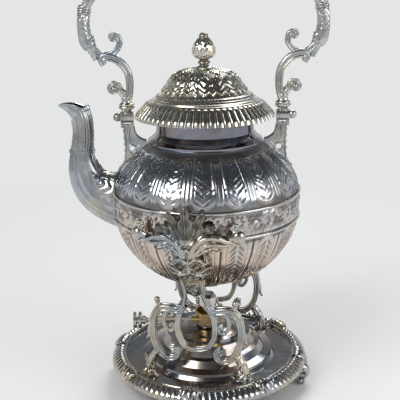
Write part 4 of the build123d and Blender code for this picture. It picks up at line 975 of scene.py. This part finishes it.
def scroll_feet():
    """Four C-scroll feet, each with a leaf on its knee and a roll on the table."""
    x = FOOT_REACH
    knee = rolled([(RIM_INNER_R + 3, 0, 1.6), (96, 0, 0.0), (x - 4.5, 0, -4.4), (x - 3.6, 0, -9.5),
                   (x - 6.0, 0, -14.0)], lambda t: 3.6 - 0.9 * t, acanthus(180, 6, 100, 1.1), 40, 0.9,
                  squash=1.9)
    roll = spiral((x - 9.3, -FEET_HEIGHT + 3.95), 3.3, 1.0, 40, -1.25)
    rolls = tube(even(smooth(roll), 0.8), lambda t: 1.45 - 0.4 * t, 16, 5.0)
    buttons = [ball_stud(x - 9.3, y, -FEET_HEIGHT + 4.6, 2.2, 0.6) for y in (-7.4, 7.4)]
    wings = []
    for side in (-1, 1):
        wings.append(tube(even(smooth([(RIM_INNER_R + 5, side * 3, 0.5), (97, side * 8.5, -1.5),
                                       (101.5, side * 10.5, -2.5), (103.0, side * 8.5, -5.5)]), 0.8),
                          lambda t: 2.2 - 1.2 * t, 14, side=(0, 0.3, 1)))
    foot = joined(knee, rolls, *buttons, *wings)
    bmesh.ops.bisect_plane(foot, geom=foot.verts[:] + foot.edges[:] + foot.faces[:], plane_no=(0, 0, -1),
                           plane_co=(0, 0, -FEET_HEIGHT), clear_outer=True)
    for index in range(4):
        bm = copied(foot, turn(STAND_TURN + 90 * index))
        placed(bm, f"scroll_foot_{index + 1}", "stand", "stand", [f"base_foot_{index + 1}"], angle=50)
    foot.free()


# ------------------------------------------------------------------ cast brackets
def belly_line():
    outline = [(BOTTOM_R, BOTTOM_Z), (BOTTOM_R + 14, BOTTOM_Z + 4), (LOW_R - 26, LOW_Z - 28),
               (LOW_R - 11.5, LOW_Z - 15.5), (LOW_R, LOW_Z), (BELLY_R - 4.5, BELLY_Z - 29),
               (BELLY_R - 1, LOWER_WIRE_Z), (BELLY_R, BELLY_Z)]
    return smooth(outline)


def stroke(s, z, points, width, height, crisp=0.0):
    """A raised line along points: round in section, as wide and high as the numbers or pairs say."""
    line = smooth(points, 6)
    w0, w1 = width if isinstance(width, tuple) else (width, width)
    h0, h1 = height if isinstance(height, tuple) else (height, height)
    best = np.zeros_like(s)
    count = len(line) - 1
    for i, (a, b) in enumerate(zip(line, line[1:])):
        run = b - a
        along = np.clip(((s - a.x) * run.x + (z - a.y) * run.y) / max(run.length_squared, 1e-9), 0, 1)
        away = np.hypot(s - a.x - run.x * along, z - a.y - run.y * along)
        t = (i + along) / count
        wide = w0 + (w1 - w0) * t
        rise = h0 + (h1 - h0) * t
        section = np.clip(1 - (away / wide) ** 2, 0, 1) ** 0.5
        section = section - crisp * ridge(away, 0.28 * wide) * (section > 0)
        best = np.maximum(best, rise * section)
    return best


def dome(s, z, x0, z0, reach, height, tall=1.0):
    away = np.hypot(s - x0, (z - z0) / tall)
    return height * np.clip(1 - (away / reach) ** 2, 0, 1) ** 0.5


def coil(s, z, x0, z0, reach, height, hand=1, start=90):
    """A volute: a wound raised line with a button in its middle."""
    points = []
    for k in range(15):
        t = k / 14
        angle = radians(start + hand * 460 * t)
        r = reach * (1 - 0.86 * t)
        points.append((x0 + r * cos(angle), z0 + r * sin(angle)))
    return np.maximum(stroke(s, z, points, (reach * 0.36, reach * 0.2), (height * 0.8, height)),
                      dome(s, z, x0, z0, reach * 0.32, height * 1.15))


def crest_relief(s, z):
    """The leaf crest: broad lobes that fan out from the forehead and fold over at their tips."""
    level = np.maximum(dome(s, z, 0, 163, 9.0, 2.2, 1.6), dome(s, z, 0, 168, 19.0, 1.3))
    for x0, z0, lean, length, wide, high in (
            (0.0, 157.0, 0, 39.0, 8.6, 4.6), (1.5, 158.0, 25, 35.5, 8.2, 3.4), (3.0, 158.0, 50, 31.5, 8.4, 4.4),
            (4.0, 158.0, 73, 28.0, 7.4, 3.2), (4.0, 156.0, 92, 20.0, 4.8, 3.6)):
        angle = radians(lean)
        t = ((s - x0) * sin(angle) + (z - z0) * cos(angle)) / length
        u = ((s - x0) * cos(angle) - (z - z0) * sin(angle)) / wide
        fold = 1 + 0.5 * ridge(t - 0.88, 0.1)
        level = np.maximum(level, leaf_height(u, t, 3, 0.7) * high * fold * ((t > 0) & (t < 1)))
    return level


def mask_relief(s, z):
    """A leaf-faced grotesque of no one in particular, with scroll brows and full cheeks."""
    level = dome(s, z, 0, 131, 15.0, 2.4, 1.35)
    for path, wide, high, crisp in (
            ([(0.0, 142), (0.0, 135), (0.0, 128)], (1.6, 2.6), (3.6, 6.0), 0.0),        # nose
            ([(2.0, 139.5), (6.0, 143.0), (11.0, 142.8), (15.4, 138.6), (18.0, 141.4), (17.0, 144.6)],
             (2.3, 1.3), (5.6, 4.2), 0.12),                                             # brow
            ([(3.6, 134.6), (7.9, 139.0), (12.2, 134.6), (7.9, 130.4), (3.6, 134.6)], 0.85, 4.6, 0.0),
            ([(10.5, 127.5), (14.5, 130.4), (18.2, 134.0), (21.0, 133.4)], (2.0, 0.9), (3.8, 2.6), 0.15),
            ([(13.0, 124.6), (17.0, 126.4), (19.6, 129.4)], (1.7, 0.8), (3.2, 2.2), 0.1),
            ([(0.0, 117.6), (3.6, 117.8), (7.0, 119.4)], (1.3, 0.8), (4.6, 3.2), 0.0),  # lips
            ([(0.0, 114.2), (3.4, 114.4), (6.2, 115.8)], (1.3, 0.8), (4.4, 3.0), 0.0),
            ([(0.0, 153.5), (1.6, 150.5), (0.0, 145.0)], (2.4, 1.2), (5.6, 3.6), 0.2)):
        level = np.maximum(level, stroke(s, z, path, wide, high, crisp))
    socket = dome(s, z, 7.9, 134.7, 4.2, 2.6)
    level = np.where(socket > 0, np.maximum(level - socket, 0.6), level)
    level = np.maximum(level, dome(s, z, 7.9, 134.7, 2.5, 4.6))
    level = level - dome(s, z, 7.9, 134.7, 0.9, 1.5)
    level = np.maximum(level, dome(s, z, 3.1, 126.6, 2.1, 5.2))
    return np.maximum(level, dome(s, z, 8.0, 123.8, 4.6, 5.2))


def neck_relief(s, z):
    """The waisted neck, with a bead down each side and a leaf, spreading to the legs."""
    level = stroke(s, z, [(0, 124), (0, 113), (0, 104)], (10.5, 8.6), 1.8)
    level = np.maximum(level, stroke(s, z, [(10.8, 116), (9.0, 108), (8.3, 99), (9.6, 91), (13.5, 83),
                                            (17.5, 79.5)], (1.7, 2.4), (3.6, 4.0), 0.12))
    level = np.maximum(level, stroke(s, z, [(5.6, 114), (4.6, 105), (0, 98.6)], (0.9, 1.1), 3.2))
    u, t = s / 4.6, np.clip((z - 96) / 14.0, 0, 1)
    level = np.maximum(level, leaf_height(u, 1 - t, 3) * 3.6 * ((z > 96) & (z < 110)))
    return np.maximum(level, dome(s, z, 0, 112, 2.4, 3.8))


def arm_relief(s, z):
    """The cradle's arms: two reeds that sweep out of the forehead, with a curl beneath each."""
    level = np.zeros_like(s)
    for path, wide, high, crisp in (
            ([(3.0, 147.0), (7.0, 156.0), (13.5, 162.6), (21.0, 165.6), (29.0, 164.4), (35.0, 161.4), (40, 160)],
             (3.3, 2.6), (6.4, 4.6), 0.24),
            ([(5.5, 146.0), (11.0, 153.0), (18.0, 157.8), (26.0, 158.6), (33.0, 157.4), (39.5, 157.6)],
             (2.3, 1.9), (4.8, 3.6), 0.12),
            ([(9.5, 147.5), (16.0, 151.8), (22.5, 152.8), (27.5, 150.6)], (1.8, 1.0), (3.6, 2.6), 0.0)):
        level = np.maximum(level, stroke(s, z, path, wide, high, crisp))
    return np.maximum(level, coil(s, z, 28.4, 154.2, 2.9, 3.2, 1, -90))


def bracket_sheet():
    """The cast face of a bracket, from its crest to the spread above the legs, as one shell."""
    width, low, high, step = 41.0, 77.5, 197.0, 0.55
    bm = bmesh.new()
    bmesh.ops.create_grid(bm, x_segments=round(2 * width / step), y_segments=round((high - low) / step),
                          size=1.0)
    points = np.array([v.co for v in bm.verts])
    s, z = points[:, 0] * width, (points[:, 1] + 1) / 2 * (high - low) + low
    half = np.abs(s)
    level = np.maximum.reduce([crest_relief(half, z), mask_relief(half, z), neck_relief(half, z),
                               arm_relief(half, z)])
    line = belly_line()
    belly = np.interp(z, [p.y for p in line], [p.x for p in line])
    inner = np.interp(z, [60, 88, 112], [BRACKET_D, BRACKET_D + 0.8, 0])
    inner = np.where(z < 88, BRACKET_D + 0.4, 0)
    reach = np.interp(z, [88, 116, 160, 168, 192], [
        BRACKET_D + 0.8, np.interp(116, [p.y for p in line], [p.x for p in line]) + 1.8, 93.6, 95.0, 96.0])
    reach = np.where((z > 116) & (z < 160), np.maximum(belly + 1.9, reach), reach)
    bend = np.clip((z - 100) / 40, 0, 1) * s * s / (2 * 96)
    out = reach + 2.3 + level * 1.15 - bend
    for vert, across, up, away, keep in zip(bm.verts, s, z, out, level > 0.25):
        vert.co = (across, -away, up)
        vert.tag = bool(keep)
    bmesh.ops.delete(bm, geom=[f for f in bm.faces if not all(v.tag for v in f.verts)], context="FACES")
    loose = [v for v in bm.verts if not v.link_faces]
    bmesh.ops.delete(bm, geom=loose, context="VERTS")
    rim = {v for e in bm.edges if e.is_boundary for v in e.verts}
    for _ in range(3):
        bmesh.ops.smooth_vert(bm, verts=list(rim), factor=0.5, use_axis_x=True, use_axis_y=True,
                              use_axis_z=True)
    border = [e for e in bm.edges if e.is_boundary]
    made = bmesh.ops.extrude_edge_only(bm, edges=border)["geom"]
    wall = [v for v in made if isinstance(v, bmesh.types.BMVert)]
    for vert in wall:
        vert.co.y += 2.2
    bmesh.ops.recalc_face_normals(bm, faces=bm.faces)
    return bm


def scroll_legs():
    """The heel half of the legs: a big C with a knob, an inner curl, the middle scroll and a leaf foot."""
    y = -BRACKET_D - BRACKET_T / 2

    def flat(points):
        return [Vector((x, y, z)) for x, z in points]
    big = channelled(flat([(12.5, 84), (18, 79.6), (27, 80.4), (34.5, 79.8), (40.2, 74.5), (43.2, 65),
                           (43.4, 54), (41.0, 42), (36.0, 32.5), (29.0, 27.6), (22.0, 28.4), (18.6, 33.4),
                           (21.0, 38.6), (25.6, 38.4)]), lambda t: 3.9 - 1.5 * t)
    horn = rolled(flat([(31.0, 80.6), (35.6, 82.2), (38.0, 86.6)]), lambda t: 2.9 - 1.2 * t,
                  acanthus(180, 3, 90, 0.6), 28, 0.7)
    knob = ball_stud(38.2, y, 88.6, 2.9)
    collar = ball_stud(37.6, y, 85.8, 2.2)
    heart = channelled(flat([(10.5, 84), (15.9, 76), (18.2, 66), (17.9, 54), (13.0, 43.0), (6.0, 39.2),
                             (0.2, 38.6)]), lambda t: 2.8 - 0.5 * t)
    inner = channelled(flat([(27.5, 79.0), (31.5, 72), (31.8, 63.5), (27.6, 57.4), (22.6, 58.6),
                             (21.8, 63.6), (25.4, 65.4)]), lambda t: 2.2 - 0.8 * t)
    eye = ball_stud(25.4, y, 62.2, 2.2, 1.3)
    curl_eye = ball_stud(23.4, y, 34.4, 2.6, 1.3)
    leg = rolled(flat([(37.0, 36.0), (41.4, 30.2), (45.6, 23.0), (FOOT_S, 14.5), (FOOT_S + 0.6, 8.6)]),
                 lambda t: 3.0 + 1.6 * t ** 2, most(acanthus(0, 5, 80, 1.0), acanthus(180, 5, 80, 1.0),
                                                    acanthus(270, 5, 70, 1.2)), 40, 0.8)
    leaf_out = rolled(flat([(43.0, 62.0), (46.8, 57.4), (47.6, 50.4), (50.0, 46.4)]),
                      lambda t: 2.6 - 2.0 * t, acanthus(180, 3, 110, 0.8), 24, 0.8)
    toes = []
    for out, front in ((-6.5, -4.0), (0, -6.4), (6.5, -4.0)):
        toes.append(rolled([(FOOT_S, y, 15.5), (FOOT_S + out * 0.6, y + front * 0.6, 12.4),
                            (FOOT_S + out, y + front, 9.0), (FOOT_S + out * 1.35, y + front * 1.3, 9.4)],
                           lambda t: 2.7 - 1.5 * t, acanthus(90, 3, 130, 0.6), 20, 0.7,
                           side=Vector((front, -out, 0)).normalized()))
    pad = moved(lathe([(0, 8.1), (6.2, 8.1), (6.6, 9.2), (5.0, 10.6), (3.4, 12.0), (0, 12.2)], 32),
                Matrix.Translation((FOOT_S, y, 0)))
    return joined(big, horn, knob, collar, heart, inner, eye, curl_eye, leg, leaf_out, *toes, pad)


def cradle_ends():
    """Ball ends of the cradle, each with a small flower above it."""
    ball_r = BELLY_R + WIRE_R * 1.5 + CRADLE_GAP + CRADLE_BALL_R / 2
    y = -(ball_r ** 2 - CRADLE_S ** 2) ** 0.5
    swing = Matrix.Translation((CRADLE_S, y, CRADLE_Z)) @ Matrix.Rotation(radians(27), 4, "Z")
    ball = moved(ball_stud(0, 0, 0, CRADLE_BALL_R), swing @ Matrix.Translation((0, -2.6, 0)) @ Matrix.Scale(
        0.75, 4, (0, 1, 0)))
    neck = moved(tube(upright([(-9.0, -1.0), (-4.4, -0.4)]), lambda t: 2.6 + 1.2 * t, 20), swing)
    flower = lathe([(p[0], p[1]) for p in even(smooth([(0, 3.2), (1.2, 3.0), (2.0, 1.8), (3.6, 2.2),
                                                       (4.4, 1.0), (4.2, -0.4), (0, -0.6)]), 0.3)], 60)
    displaced(flower, lambda angle, r, z: (0.5 * np.cos(np.radians(angle * 6)) * (r > 2),
                                           0.3 * np.cos(np.radians(angle * 6)) * (r > 2), 0 * r))
    moved(flower, swing @ Matrix.Translation((-3.6, -1.6, 8.6)) @ Matrix.Rotation(radians(90), 4, "X"))
    stem = moved(tube(upright([(-2.0, 3.5), (-3.4, 7.0)]), 1.6, 16), swing)
    return joined(ball, neck, flower, stem)


def brackets():
    half = joined(scroll_legs(), cradle_ends())
    other = copied(half, MIRROR_X)
    cast = joined(bracket_sheet(), half, other)
    rear = copied(cast, turn(STAND_TURN + 180))
    moved(cast, turn(STAND_TURN))
    places = np.array([(turn(-STAND_TURN) @ v.co) for v in cast.verts])
    crest = (np.abs(places[:, 0]) < 29) & (places[:, 2] > 163.5 + np.clip(np.abs(places[:, 0]) - 8, 0, 6) * 0.8)
    # the crest gets a low relief level, which makes it darker than the rest of the bracket
    crest_darkening = np.where(crest, 0.1, 0.58)
    placed(cast, "cast_bracket_front", "stand", "stand", ["bracket_front"], crest_darkening, 50)
    placed(rear, "cast_bracket_rear", "stand", "stand", ["bracket_rear"], crest_darkening, 50)


gadroon_rim()
rim_leaves()
scroll_feet()
brackets()


# ------------------------------------------------------------------ carried-over solids
# the polished finish's dark navy colour is a painted dark reflection
dress("polished_dark_reflection", "neck_collar", "kettle_foot_ring")
dress("wire", "band_wire_upper", "band_wire_lower", "lid_hinge_leaf", "wick_knob", "snuffer_cap")
dress("plain_cast", "handle_lug_heel", "handle_lug_spout", "handle_pin_heel", "handle_pin_spout",
      "grip_ferrule_heel", "grip_ferrule_spout", "spout_collar", "spout_flange")
dress("plain_lid", "lid_bezel", "lid_knuckle", "finial_washer", "finial_nut")
# the base finish is dark with warm brown: a painted reflection
dress("base_painted_reflection", "base_plate", "lamp_font")
dress("brass", "burner_collar", "wick_tube", "wick_wheels", "spindle_gland")
dress("steel", "wick_spindle", "grip_rod", "lid_hinge_pin", "snuffer_pin", "bracket_nuts")
dress("grip", "handle_grip")
dress("wick", "wick")


# ------------------------------------------------------------------ room
def pale_floor():
    """Pale and even: it keeps the shadows near the stand, and is plain backdrop away from it."""
    finish = Finish("pale_floor", roughness=0.75)
    finish.shader.inputs["Base Color"].default_value = (0.80, 0.80, 0.79, 1)
    away = finish.node("ShaderNodeVectorMath", {"operation": "LENGTH"}, [finish.coordinates()], "Value")
    seen = finish.node("ShaderNodeLightPath", output="Is Camera Ray")
    backdrop = finish.node("ShaderNodeEmission", {}, {"Color": (0.78, 0.785, 0.785, 1)})
    shaded = Value(finish, finish.shader.outputs[0])
    mixed = finish.node("ShaderNodeMixShader", {}, [away.between(0.25, 0.95) * seen, shaded, backdrop])
    for node in finish.tree.nodes:
        if node.type == "OUTPUT_MATERIAL":
            finish.link(mixed, node.inputs["Surface"])
    return finish.material


def room():
    """A pale floor, a studio sky and soft lamps; camera() sets the camera at the photograph's angle."""
    bm = bmesh.new()
    bmesh.ops.create_grid(bm, x_segments=2, y_segments=2, size=40.0)
    mesh = bpy.data.meshes.new("floor")
    bm.to_mesh(mesh)
    bm.free()
    floor = bpy.data.objects.new("floor", mesh)
    bpy.context.scene.collection.objects.link(floor)
    mesh.materials.append(pale_floor())

    world = bpy.data.worlds.new("studio")
    world.use_nodes = True
    bpy.context.scene.world = world
    sky = Nodes(world.node_tree)
    rays = [sky.node("ShaderNodeLightPath", output=ray) for ray in (
        "Is Camera Ray", "Is Glossy Ray", "Is Transmission Ray")]
    shown = rays[0].maths("MAXIMUM", rays[1]).maths("MAXIMUM", rays[2])
    up = sky.node("ShaderNodeSeparateXYZ", {}, [sky.node("ShaderNodeTexCoord", output="Generated")], 2)
    lit = sky.node("ShaderNodeBackground", {}, {"Color": (0.95, 0.97, 1.0, 1), "Strength": 0.5})
    tone = sky.node("ShaderNodeValToRGB", {"stops": [(0.0, (0.80, 0.80, 0.80)), (0.12, (0.80, 0.80, 0.80)),
                    (0.36, (0.30, 0.31, 0.33)), (0.75, (0.05, 0.052, 0.06))]}, [up])
    seen = sky.node("ShaderNodeBackground", {}, {"Color": tone, "Strength": 1.0})
    both_skies = sky.node("ShaderNodeMixShader", {}, [shown, lit, seen])
    sky.node("ShaderNodeOutputWorld", {}, [both_skies])

    middle = Vector((AXIS_X, 0, LIFT + 0.2))
    lamps = [("key_lamp", (-0.9, -0.9, 1.1), 0.8, 13.0), ("fill_lamp", (1.1, -0.6, 0.6), 0.9, 6.0),
             ("rear_lamp", (0.3, 1.1, 1.2), 0.8, 10.0)]
    for name, place, size, power in lamps:
        light = bpy.data.lights.new(name, "AREA")
        light.size, light.energy = size, power
        lamp = bpy.data.objects.new(name, light)
        lamp.location = middle + Vector(place)
        lamp.rotation_euler = (middle - lamp.location).to_track_quat("-Z", "Y").to_euler()
        bpy.context.scene.collection.objects.link(lamp)


def camera():
    """The photograph's view: a long lens a little above the lid, tilted down."""
    data = bpy.data.cameras.new("camera")
    data.sensor_width, data.lens = 36, 67.5
    view = bpy.data.objects.new("camera", data)
    view.location = SETTING @ Vector((0, -720, 380))
    view.rotation_euler = Euler((radians(90 - 16.1), 0, 0)).to_matrix().to_euler()
    view.rotation_euler = (Matrix.Rotation(radians(0.5), 3, "Z") @ view.rotation_euler.to_matrix()
                           @ Matrix.Rotation(radians(-1.1), 3, "Z")).to_euler()
    bpy.context.scene.collection.objects.link(view)
    bpy.context.scene.camera = view


room()
camera()
bpy.context.scene.view_settings.view_transform = "Standard"
